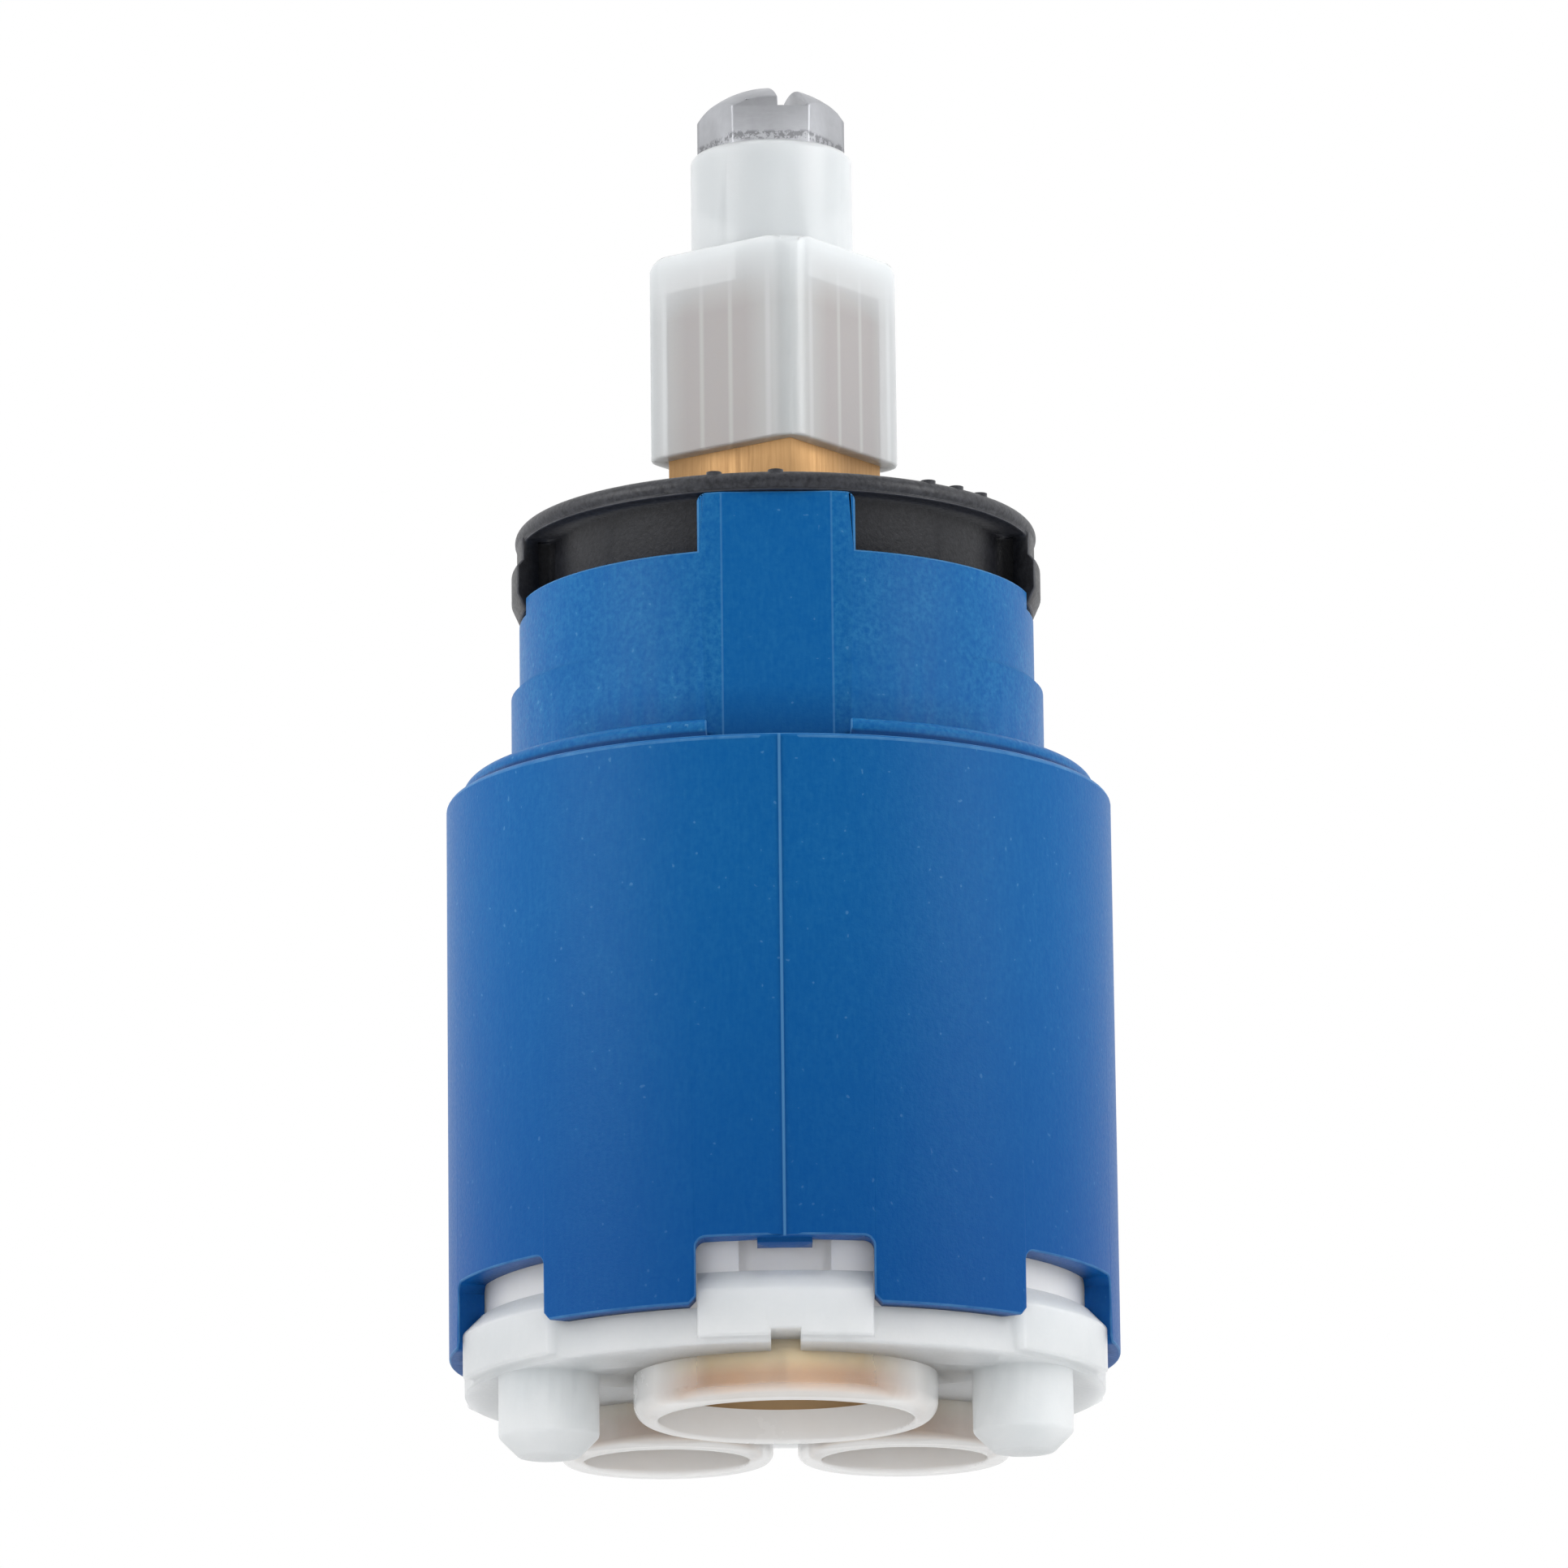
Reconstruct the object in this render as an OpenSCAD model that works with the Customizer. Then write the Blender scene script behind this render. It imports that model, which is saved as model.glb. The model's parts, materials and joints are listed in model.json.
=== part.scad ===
// Single-lever mixer cartridge with ceramic discs.
// Z runs along the barrel, up towards the spindle. Z = 0 is the underside of the base,
// which seats on the floor of the tap body. -Y is the outlet side, with the key of the neck.

/* [Housing] */
// Diameter of the barrel
body_d = 35; // [34:0.5:40]
// Wall of the barrel
body_wall = 1.5; // [1.2:0.1:2]
// Height of the skirt's lower edge above the seat
skirt_z = 1.95; // [1.6:0.05:2.6]
// Length of the barrel from skirt edge to shoulder
body_h = 29.55; // [28:0.05:34]
// Thickness of the shoulder
shoulder_t = 1.8; // [1.4:0.1:2.4]
// Width of the shoulder, from the barrel in to the neck
shoulder_w = 3.9; // [3.5:0.1:4.2]
// Wall of the neck
neck_wall = 1.6; // [1.4:0.1:1.8]
// Length of the neck above the shoulder
neck_h = 10.7; // [10:0.1:13]
// How far the side ribs stand out from the neck
band_step = 0.45; // [0.3:0.05:0.7]
// Height of the side ribs on the neck
band_h = 6.3; // [3:0.1:7]
// How far the seat of the clamp nut stays inside the barrel's diameter
rim_inset = 0.85; // [0.5:0.05:1]
// Height of the nut's seat above the shoulder
rim_h = 1.1; // [0.8:0.1:1.4]
// Width of the gaps in the seat beside the keyways
rim_gap_w = 7.4; // [6.6:0.2:9]
// Width of the keys on top of the neck
key_w = 8.2; // [7.4:0.2:10]
// Height of the keys
key_h = 3.1; // [2.4:0.1:3.4]
// Width of the keyways down the neck
keyway_w = 5.8; // [4:0.2:6.4]
// Depth of the keyways in the neck
keyway_depth = 0.3; // [0.2:0.05:0.5]
// Angle that each skirt notch takes, at the barrel's outside
notch_angle = 30; // [26:1:34]
// Height of the skirt notches
notch_h = 3.4; // [2.8:0.1:4]
// Width of the mould seam down the barrel
seam_w = 0.16; // [0.1:0.02:0.3]

/* [Cap ring] */
// Thickness of the cap ring's top plate
cap_t = 1; // [0.8:0.1:1.6]
// Wall of the cap ring inside the neck, around the opening that the spindle tilts in
cap_wall = 1.6; // [1.2:0.1:1.9]
// How far the top plate stands out from the neck
cap_lip = 0.2; // [0.2:0.05:0.6]
// How far the cap ring reaches down into the neck
cap_skirt_h = 2.3; // [1.5:0.1:3]
// Angle of each side clip
clip_angle = 26; // [20:2:36]
// How far the side clips reach down the outside of the neck
clip_drop = 0.6; // [0.6:0.1:1.8]
// How far the clips' bulge stands out from the neck
clip_bulge = 0.4; // [0.4:0.05:0.8]

/* [Base] */
// Thickness of the base's floor
floor_t = 8; // [7.5:0.1:9]
// How far the base's flange stays inside the barrel's diameter
flange_inset = 0.8; // [0.3:0.05:0.8]
// How far the lugs stay inside the barrel's diameter
lug_inset = 0.2; // [0.1:0.05:0.5]
// How far the lugs rise above the skirt's edge
lug_rise = 1.8; // [1:0.1:2.2]
// Diameter of the locating pins
pin_d = 5.2; // [4:0.1:5.6]
// Length of the locating pins
pin_h = 4.2; // [3:0.1:6]
// Angle of the locating pins from the front
pin_angle = 61; // [54:1:64]
// Distance from the barrel's outside to the pins' centres
pin_inset = 3.55; // [3.2:0.05:3.6]

/* [Ports] */
// Place of the outlet behind the front
outlet_y = -6; // [-6.4:0.1:-5.7]
// Place of the inlets to the sides
inlet_x = 6.25; // [6:0.05:6.6]
// Place of the inlets to the rear
inlet_y = 6.8; // [6.5:0.1:7]
// Outer diameter of the outlet seal
outlet_seal_d = 15.7; // [15:0.1:16.2]
// Outer diameter of the inlet seals
inlet_seal_d = 11.2; // [10.6:0.1:11.6]
// How far the seals stand out of the base
seal_stand = 2.35; // [1.6:0.05:3]
// Depth of the seals' seats in the base
seal_seat = 2.4; // [2:0.1:3.2]
// Outer wall of the seals, around the support rings
seal_wall = 0.55; // [0.5:0.05:0.9]
// Wall of the support rings
support_t = 0.35; // [0.3:0.05:0.6]
// Inner lip of the seals, inside the support rings
seal_lip = 0.35; // [0.3:0.05:0.6]

/* [Discs] */
// Wall of the base's cup, around the fixed disc
cup_wall = 1.9; // [1.6:0.1:2.3]
// Thickness of the fixed disc
fixed_t = 4; // [3:0.1:5]
// How much smaller the moving disc is than the fixed disc, in radius
disc_step = 1.6; // [1:0.1:1.8]
// Thickness of the moving disc
moving_t = 4; // [3.4:0.1:5]
// Thickness of the disc carrier's plate
plate_t = 3; // [2.4:0.1:3.6]
// Side of the square block on the disc carrier
boss_w = 11; // [10.4:0.2:11.4]
// Radius of the mixing chamber in the moving disc
chamber_r = 5.4; // [5:0.1:5.6]

/* [Spindle] */
// Side of the square spindle
square_w = 8; // [7:0.1:8.4]
// Diameter of the ball at the spindle's foot
ball_d = 6.4; // [6:0.1:6.8]
// Thickness of the spindle's blade along the pivot pin
blade_t = 5; // [4.4:0.1:5.6]
// Width of the spindle's blade across the pivot pin
blade_w = 6.2; // [5.6:0.1:6.4]
// Diameter of the pivot pin
pivot_d = 3; // [2:0.1:3.2]
// Depth of the pivot below the top of the neck
pivot_depth = 6; // [5.6:0.1:6.4]
// Tilt of the spindle from closed to fully open
tilt_max = 20; // [15:1:22]
// Turn of the spindle to either side of mid-temperature
turn_max = 45; // [30:5:50]
// Turn of the spindle in the stored pose, from mid-temperature
rest_turn = 8; // [-30:1:30]

/* [Sleeve and screw] */
// Wall of the sleeve on the square
sleeve_wall = 1; // [0.8:0.05:1.3]
// Rounding of the sleeve's upright corners
sleeve_corner = 1.35; // [0.8:0.05:1.6]
// Height of the sleeve's lower edge above the cap ring
sleeve_gap = 3.8; // [3.6:0.1:6]
// Height of the sleeve's square part
sleeve_square_h = 11; // [9.5:0.1:14]
// Diameter of the sleeve's round part
sleeve_round_d = 8.6; // [8.5:0.1:9.4]
// Height of the sleeve's round part
sleeve_round_h = 5.8; // [5.5:0.1:9]
// Size of the screw's hexagon across its corners
hex_d = 7.85; // [7:0.05:7.9]
// Height of the screw's head above the sleeve
hex_stand = 3.8; // [2.4:0.1:4]
// Turn of the screw, at which its slot stands
slot_turn = 14; // [-45:1:45]

/* [Hidden] */
$fn = 96;

// Clearances
seat_clear = 0.05;
run_clear = 0.08;
thrust_gap = 0.05;
gap = 0.3;
past = 1;

// Housing
body_r = body_d / 2;
bore_r = body_r - body_wall;
neck_r = body_r - shoulder_w;
neck_bore_r = neck_r - neck_wall;
opening_r = neck_bore_r - run_clear - cap_wall;
band_r = neck_r + band_step;
shoulder_z = skirt_z + body_h;
shoulder_under_z = shoulder_z - shoulder_t;
neck_top_z = shoulder_z + neck_h;
key_top_z = neck_top_z + key_h;
notch_top_z = skirt_z + notch_h;
notch_count = 6;
notch_pitch = 360 / notch_count;
notch_w = body_d * sin(notch_angle / 2);
notch_round = 0.5;
tab_chamfer = 0.4;
rim_r = body_r - rim_inset;
rim_round = 0.6;
key_round = 0.5;
edge_chamfer = 0.2;
band_chamfer = 0.5;
band_shift = 1.4;
seam_stand = 0.06;
key_rib_w = 2.8;
key_rib_depth = 0.9;
key_rib_drop = 0.25;
key_rib_top_z = floor_t + 5;
stop_w = 3;
stop_depth = 1.3;

// Base
base_r = bore_r - seat_clear;
flange_r = body_r - flange_inset;
flange_h = skirt_z - seat_clear;
lug_r = body_r - lug_inset;
lug_z0 = 0.3;
lug_z1 = skirt_z + lug_rise;
lug_chamfer = 1.1;
lug_turns = [-2, -1, 0, 1, 2];
pin_r = pin_d / 2;
pin_chamfer = 1.05;
pin_place_r = body_r - pin_inset;
key_groove_w = 4.7;
snap_h = 0.8;
snap_depth = 0.2;
vent_w = 1.5;
vent_h = 0.3;

// Seals of the ports, each place with its outer radius
outlet_place = [0, outlet_y];
inlet_places = [[-inlet_x, inlet_y], [inlet_x, inlet_y]];
outlet_seal_r = outlet_seal_d / 2;
inlet_seal_r = inlet_seal_d / 2;
outlet_round = 0.95;
inlet_round = 0.5;
lip_round = 0.2;
foot_flat = 0.05;
lip_top_z = -0.6;
seal_foot_t = 0.4;
support_z0 = seal_foot_t - seal_stand;

// Ways through the floor of the base, under the ports of the fixed disc
outlet_way = [0, -5];
outlet_way_r = 4.2;
inlet_way_angle = 41.6;
inlet_way_radius = 8.3;
inlet_way_r = 3.1;
inlet_slot_r = 1.8;
inlet_slot_half = 1.2;
disc_seal_h = 1.2;
disc_seal_t = 1.4;
disc_seal_land = 0.3;

// Stack of discs
fixed_top_z = floor_t + fixed_t;
moving_top_z = fixed_top_z + moving_t;
plate_top_z = moving_top_z + plate_t;
cup_top_z = fixed_top_z - 0.5;
cup_r = base_r - cup_wall;
fixed_r = cup_r - seat_clear;
moving_r = fixed_r - disc_step;
disc_notch_w = 3;
disc_notch_depth = 1.2;
drive_h = moving_t / 2;
plate_inset = 0.4;
chamber_front_r = 4.6;
chamber_front_y = -3.6;
chamber_seal_r = 7.4;
chamber_seal_t = 1.4;
chamber_seal_h = 1;

// Rotor
drum_r = bore_r - gap - run_clear;
glide_t = 0.4;
glide_z0 = shoulder_under_z - glide_t;
drum_z0 = plate_top_z + gap;
drum_z1 = glide_z0 - thrust_gap;
drum_roof = 0.35;
channel_top_z = drum_z1 - drum_roof;
hub_r = neck_bore_r - run_clear;
cap_skirt_z = neck_top_z - cap_skirt_h;
hub_top_z = cap_skirt_z - gap;
nose_r = opening_r - gap;
rotor_top_z = neck_top_z - 0.5;
pivot_z = neck_top_z - pivot_depth;
pivot_r = pivot_d / 2;
ring_seal_r = 0.75;
ring_seal_z = (channel_top_z + pivot_z - pivot_r) / 2;

// Spindle and the travel that it gives to the discs
boss_top_z = channel_top_z - gap;
ball_r = ball_d / 2;
ball_depth = 1.6;
ball_z = boss_top_z - ball_depth;
ball_play = 0.1;
bush_t = 0.8;
bush_floor_z = ball_z - ball_r - gap;
arm = pivot_z - ball_z;
travel = arm * sin(tilt_max);
disc_back = -travel / 2;
ball_room_z = ball_z + arm * (1 - cos(tilt_max)) + ball_r + gap;
stem_r = ball_r - 1;
blade_foot_z = channel_top_z + 1;
blade_play = 0.12;
cap_top_z = key_top_z + cap_t;
square_foot_z = cap_top_z - 1.4;
square_chamfer_r = square_w / 2 - 0.2;
square_slope = 0.75;
sleeve_z0 = cap_top_z + sleeve_gap;
sleeve_step_z = sleeve_z0 + sleeve_square_h;
sleeve_top_z = sleeve_step_z + sleeve_round_h;
sleeve_roof = 1.75;
sleeve_round = 0.7;
spindle_top_z = sleeve_step_z - sleeve_roof;
sleeve_w = square_w + 2 * (seat_clear + sleeve_wall);
hex_seat = 2.8;
hex_seat_z = sleeve_top_z - hex_seat;
hex_top_z = sleeve_top_z + hex_stand;
hex_r = hex_d / 2;
dome_h = 1.7;
slot_w = 1.5;
slot_depth = 1.7;
slot_side = 0.3;
shank_r = 1.9;
shank_in = 7.5;

// Direction at an angle from the front, positive towards +X
function front_dir(angle) = [sin(angle), -cos(angle)];

// Place of the right inlet way, turned from the rear
inlet_way = inlet_way_radius * [sin(inlet_way_angle), cos(inlet_way_angle)];
inlet_ways = [[-inlet_way[0], inlet_way[1]], inlet_way];

// Wedge of a given angle about the front direction
module wedge(angle, turn, z0, z1, reach = 2 * body_d) {
    translate([0, 0, z0])
        linear_extrude(z1 - z0)
            polygon([[0, 0], reach * front_dir(turn - angle / 2), reach * front_dir(turn),
                     reach * front_dir(turn + angle / 2)]);
}

// Tube between two radii
module tube(r_out, r_in, z0, z1) {
    translate([0, 0, z0])
        difference() {
            cylinder(r = r_out, h = z1 - z0);
            translate([0, 0, -past]) cylinder(r = r_in, h = z1 - z0 + 2 * past);
        }
}

// Upright bar across the barrel, centred on the axis
module cross_bar(w, z0, z1, reach = body_d) {
    translate([-w / 2, -reach, z0]) cube([w, 2 * reach, z1 - z0]);
}

// Cylinder with its upper outer edge cut at 45 degrees
module chamfered(r, z0, z1, cut) {
    rotate_extrude()
        polygon([[0, z0], [r, z0], [r, z1 - cut], [r - cut, z1], [0, z1]]);
}

// Square with rounded corners, in the plane
module round_square(w, r) {
    inner = w - 2 * r;
    square([w, inner], center = true);
    square([inner, w], center = true);
    for (x = [-1, 1], y = [-1, 1])
        translate([x, y] * inner / 2) circle(r);
}

// Everything that turns with the spindle is drawn at mid-temperature and turned to the stored pose
module turned() {
    rotate([0, 0, rest_turn]) children();
}

// Upright plate across the barrel with rounded upper corners
module key_plate() {
    rotate([90, 0, 0])
        translate([0, 0, -body_d])
            linear_extrude(2 * body_d) {
                translate([-key_w / 2, neck_top_z - past])
                    square([key_w, key_h + past - key_round]);
                translate([-key_w / 2 + key_round, key_top_z - 2 * key_round])
                    square([key_w - 2 * key_round, 2 * key_round]);
                for (x = [-1, 1])
                    translate([x * (key_w / 2 - key_round), key_top_z - key_round])
                        circle(key_round);
            }
}

// Raised seat of the clamp nut on the shoulder, with a rounded edge
module nut_seat() {
    seat_top_z = shoulder_z + rim_h;
    rotate_extrude() {
        translate([neck_bore_r, shoulder_z - past])
            square([rim_r - neck_bore_r, rim_h + past - rim_round]);
        translate([neck_bore_r, shoulder_z])
            square([rim_r - rim_round - neck_bore_r, rim_h]);
        translate([rim_r - rim_round, seat_top_z - rim_round]) circle(rim_round);
    }
}

module housing_outside() {
    chamfered(body_r, skirt_z, shoulder_z, edge_chamfer);
    difference() {
        nut_seat();
        cross_bar(rim_gap_w, shoulder_z, key_top_z);
    }
    for (side = [-1, 1])
        translate([side * band_shift, 0, 0])
            chamfered(band_r - band_shift, shoulder_z - past, shoulder_z + band_h, band_chamfer);
    translate([0, 0, shoulder_z]) cylinder(r = neck_r, h = neck_h);
    intersection() {
        key_plate();
        translate([0, 0, shoulder_z]) cylinder(r = neck_r, h = 2 * neck_h);
    }
    translate([-seam_w / 2, -body_r - seam_stand, notch_top_z])
        cube([seam_w, body_wall, shoulder_z - notch_top_z - edge_chamfer]);
}

// Flats that run down the neck on the front and the rear
module keyways() {
    for (side = [0, 180])
        rotate([0, 0, side])
            translate([-keyway_w / 2, -body_r, shoulder_z])
                cube([keyway_w, body_r - neck_r + keyway_depth, neck_h + key_h + past]);
}

module clip_seats() {
    for (side = [90, -90])
        difference() {
            wedge(clip_angle + 2, side, neck_top_z - clip_drop - gap, neck_top_z + past);
            cylinder(r = neck_r - neck_wall / 2, h = 2 * neck_top_z);
        }
}

// Ribs in the barrel: two that key the base and one that stops the rotor
module housing_ribs() {
    intersection() {
        translate([0, 0, notch_top_z - key_rib_drop])
            cylinder(r = bore_r + body_wall / 2, h = shoulder_z - notch_top_z - past);
        difference() {
            union() {
                cross_bar(key_rib_w, 0, key_rib_top_z);
                translate([-stop_w / 2, 0, drum_z0])
                    cube([stop_w, body_r, shoulder_z - drum_z0]);
            }
            cylinder(r = bore_r - key_rib_depth, h = key_rib_top_z + past);
            cylinder(r = bore_r - stop_depth, h = shoulder_z);
        }
    }
}

// Outline of a skirt notch, with rounded upper corners and flared lower corners
module notch_outline() {
    half = notch_w / 2;
    polygon([[-half - tab_chamfer - past, skirt_z - past], [-half, skirt_z + tab_chamfer],
             [-half, notch_top_z - notch_round], [half, notch_top_z - notch_round],
             [half, skirt_z + tab_chamfer], [half + tab_chamfer + past, skirt_z - past]]);
    translate([-half + notch_round, notch_top_z - 2 * notch_round])
        square([notch_w - 2 * notch_round, 2 * notch_round]);
    for (x = [-1, 1])
        translate([x * (half - notch_round), notch_top_z - notch_round]) circle(notch_round);
}

module skirt_notches() {
    for (i = [0:notch_count - 1])
        rotate([90, 0, i * notch_pitch])
            translate([0, 0, bore_r / 2])
                linear_extrude(body_r) notch_outline();
}

module housing() {
    color("#2163a8") {
        difference() {
            housing_outside();
            translate([0, 0, skirt_z - past])
                cylinder(r = bore_r, h = shoulder_under_z - skirt_z + past);
            cylinder(r = neck_bore_r, h = key_top_z + past);
            skirt_notches();
            keyways();
            clip_seats();
            tube(bore_r + snap_depth + seat_clear, bore_r - past,
                 cup_top_z - 2 * snap_h - gap, cup_top_z - snap_h + gap);
        }
        housing_ribs();
    }
}

// Section of a side clip, with the bulge that grips below the neck's edge
module clip_section() {
    clip_in = neck_r - neck_wall / 2 + seat_clear;
    clip_z0 = neck_top_z - clip_drop;
    clip_top_z = key_top_z + cap_t / 4;
    polygon([[clip_in, clip_top_z], [clip_in, clip_z0],
             [neck_r, clip_z0], [neck_r + clip_bulge, clip_z0 + 0.9],
             [neck_r + clip_bulge, neck_top_z + 1.8], [neck_r + cap_lip - 0.1, neck_top_z + 2.15],
             [neck_r + cap_lip - 0.1, clip_top_z]]);
}

// Section of the whole ring: top plate with a rounded edge, wall on the neck and skirt inside it
module cap_section() {
    plate_r = neck_r + cap_lip;
    plate_round = cap_t / 2;
    translate([opening_r, key_top_z])
        square([plate_r - opening_r - plate_round, cap_t]);
    translate([plate_r - plate_round, key_top_z + plate_round]) circle(plate_round);
    translate([opening_r, neck_top_z])
        square([neck_r - opening_r, key_h + plate_round]);
    translate([opening_r, cap_skirt_z])
        square([neck_bore_r - run_clear - opening_r, cap_skirt_h + past]);
}

// Small raised marks along the edge of the top plate, as angles from the front
mark_angles = [-14, 0, 37, 45.5, 54];
mark_r = 0.4;
mark_h = 0.28;

module cap_ring() {
    window_angle = 184 - clip_angle;
    color("#2d2e34") {
        difference() {
            rotate_extrude() cap_section();
            for (side = [0, 180])
                difference() {
                    wedge(window_angle, side, neck_top_z - past, key_top_z);
                    cylinder(r = neck_bore_r - run_clear, h = 2 * key_top_z);
                }
        }
        for (side = [0, 180])
            rotate([0, 0, side - clip_angle / 2])
                rotate_extrude(angle = clip_angle) clip_section();
        for (angle = mark_angles)
            translate(concat((neck_r - mark_r) * front_dir(angle), [cap_top_z - mark_h]))
                cylinder(r = mark_r, h = 2 * mark_h);
    }
}

module base_lugs() {
    lug_w = notch_w - 2 * seat_clear;
    root_r = base_r - past;
    for (i = lug_turns)
        rotate([0, 0, i * notch_pitch])
            intersection() {
                rotate_extrude()
                    polygon([[root_r, lug_z0], [lug_r, lug_z0], [lug_r, lug_z1 - lug_chamfer],
                             [lug_r - lug_chamfer, lug_z1], [root_r, lug_z1]]);
                translate([-lug_w / 2, -body_r, 0]) cube([lug_w, body_r, lug_z1 + past]);
            }
}

module locating_pins() {
    for (side = [-1, 1])
        translate(concat(pin_place_r * front_dir(side * pin_angle), [0]))
            rotate_extrude()
                polygon([[0, past], [pin_r, past], [pin_r, -pin_h + pin_chamfer],
                         [pin_r - pin_chamfer, -pin_h], [0, -pin_h]]);
}

// Bead that snaps into the barrel
module snap_bead() {
    rotate_extrude()
        polygon([[base_r - past, cup_top_z - 2 * snap_h], [base_r, cup_top_z - 2 * snap_h],
                 [base_r + snap_depth, cup_top_z - 1.5 * snap_h],
                 [base_r, cup_top_z - snap_h], [base_r - past, cup_top_z - snap_h]]);
}

// Seat of a port seal with the way through the floor above it
module port_seat(place, seal_r, way, way_r) {
    translate(concat(place, [-past]))
        cylinder(r = seal_r + seat_clear, h = seal_seat + past);
    translate(concat(way, [0])) cylinder(r = way_r, h = floor_t + past);
    translate(concat(way, [floor_t]))
        tube(way_r + disc_seal_land + disc_seal_t + seat_clear, way_r + disc_seal_land,
             -disc_seal_h, past);
}

// Bars that fill the side notches of a disc
module disc_keys(r, depth, w, z0, z1) {
    difference() {
        translate([-r - past, -w / 2, z0]) cube([2 * (r + past), w, z1 - z0]);
        translate([-r + depth, -w, z0 - past])
            cube([2 * (r - depth), 2 * w, z1 - z0 + 2 * past]);
    }
}

module base() {
    color("#dee3e6")
        difference() {
            union() {
                cylinder(r = flange_r, h = flange_h);
                cylinder(r = base_r, h = cup_top_z);
                snap_bead();
                base_lugs();
                locating_pins();
            }
            difference() {
                translate([0, 0, floor_t])
                    cylinder(r = cup_r, h = fixed_t);
                disc_keys(fixed_r, disc_notch_depth - seat_clear,
                          disc_notch_w - 2 * seat_clear, 0, cup_top_z);
            }
            port_seat(outlet_place, outlet_seal_r, outlet_way, outlet_way_r);
            for (i = [0, 1])
                port_seat(inlet_places[i], inlet_seal_r, inlet_ways[i], inlet_way_r);
            difference() {
                cross_bar(key_groove_w, lug_z1, cup_top_z + past);
                cylinder(r = bore_r - key_rib_depth - gap, h = 2 * cup_top_z);
            }
            translate([-vent_w / 2, -body_r, -past])
                cube([vent_w, body_r + outlet_y, lug_z0 + vent_h + past]);
        }
}

// Quarter of a disc towards +X and -Z or towards -X and -Z, in the plane of a section
module foot_round(r, side) {
    intersection() {
        circle(r);
        translate([side < 0 ? -2 * r : 0, -2 * r]) square(2 * r);
    }
}

// Section of a port seal: outer wall, rounded foot and inner lip around the slot for the ring
module seal_section(seal_r, edge_r) {
    slot_r1 = seal_r - seal_wall;
    slot_r0 = slot_r1 - support_t;
    lip_r = slot_r0 - seal_lip;
    foot_z = -seal_stand;
    round_r = min(edge_r, seal_r - lip_r - lip_round - foot_flat);
    difference() {
        union() {
            polygon([[lip_r, lip_top_z], [lip_r, foot_z + lip_round], [lip_r + lip_round, foot_z],
                     [seal_r - round_r, foot_z], [seal_r, foot_z + round_r], [seal_r, seal_seat],
                     [slot_r1, seal_seat], [slot_r1, lip_top_z]]);
            translate([lip_r + lip_round, foot_z + lip_round]) foot_round(lip_round, -1);
            translate([seal_r - round_r, foot_z + round_r]) foot_round(round_r, 1);
        }
        translate([slot_r0, support_z0]) square([support_t, seal_seat - support_z0]);
    }
}

module port_seal(place, seal_r, round_r) {
    color("#d9d3c6")
        translate(concat(place, [0]))
            rotate_extrude() seal_section(seal_r, round_r);
}

module support_ring(place, seal_r) {
    slot_r1 = seal_r - seal_wall;
    color("#b08048")
        translate(concat(place, [0]))
            tube(slot_r1, slot_r1 - support_t, support_z0, seal_seat);
}

module outlet_seal() { port_seal(outlet_place, outlet_seal_r, outlet_round); }
module inlet_seal_left() { port_seal(inlet_places[0], inlet_seal_r, inlet_round); }
module inlet_seal_right() { port_seal(inlet_places[1], inlet_seal_r, inlet_round); }
module outlet_support_ring() { support_ring(outlet_place, outlet_seal_r); }
module inlet_support_ring_left() { support_ring(inlet_places[0], inlet_seal_r); }
module inlet_support_ring_right() { support_ring(inlet_places[1], inlet_seal_r); }

// Seal between the floor of the base and the fixed disc
module disc_seal(way, way_r) {
    color("#33353a")
        translate(concat(way, [floor_t]))
            tube(way_r + disc_seal_land + disc_seal_t, way_r + disc_seal_land,
                 -disc_seal_h, 0);
}

module disc_seal_outlet() { disc_seal(outlet_way, outlet_way_r); }
module disc_seal_left() { disc_seal(inlet_ways[0], inlet_way_r); }
module disc_seal_right() { disc_seal(inlet_ways[1], inlet_way_r); }

// Slot of one inlet, long along the circle that it lies on
module inlet_slot(way, turn) {
    translate(way)
        rotate(turn) {
            square([2 * inlet_slot_half, 2 * inlet_slot_r], center = true);
            for (end = [-1, 1])
                translate([end * inlet_slot_half, 0]) circle(inlet_slot_r);
        }
}

module fixed_disc() {
    color("#f2efe6")
        difference() {
            translate([0, 0, floor_t])
                linear_extrude(fixed_t)
                    difference() {
                        circle(fixed_r);
                        translate(outlet_way) circle(outlet_way_r - disc_seal_land);
                        inlet_slot(inlet_ways[0], inlet_way_angle);
                        inlet_slot(inlet_ways[1], -inlet_way_angle);
                    }
            disc_keys(fixed_r, disc_notch_depth, disc_notch_w, floor_t - past,
                      fixed_top_z + past);
        }
}

module glide_ring() {
    color("#eef0ee")
        tube(bore_r - stop_depth - gap, neck_bore_r + gap, glide_z0, shoulder_under_z);
}

// Swing of the spindle's blade in the rotor, from closed to open
module blade_slot() {
    slot_w = blade_w + 2 * blade_play;
    slot_t = blade_t + 2 * blade_play;
    reach = pivot_z - channel_top_z + 2;
    translate([-slot_t / 2, 0, pivot_z])
        rotate([90, 0, 90])
            linear_extrude(slot_t)
                for (tilt = [0, tilt_max])
                    rotate(tilt)
                        translate([-slot_w / 2, -reach]) square([slot_w, 2 * reach]);
}

// Sector cut from the drum, in which the stop rib of the barrel travels
module stop_sector() {
    rib_angle = 2 * asin(stop_w / 2 / (bore_r - stop_depth));
    play_angle = 2;
    rotate([0, 0, 180])
        difference() {
            for (side = [-1, 1])
                wedge(turn_max + rib_angle / 2 + play_angle,
                      side * (turn_max + rib_angle / 2 + play_angle) / 2,
                      drum_z0 - past, drum_z1 + past);
            cylinder(r = bore_r - stop_depth - gap, h = shoulder_z);
        }
}

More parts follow.
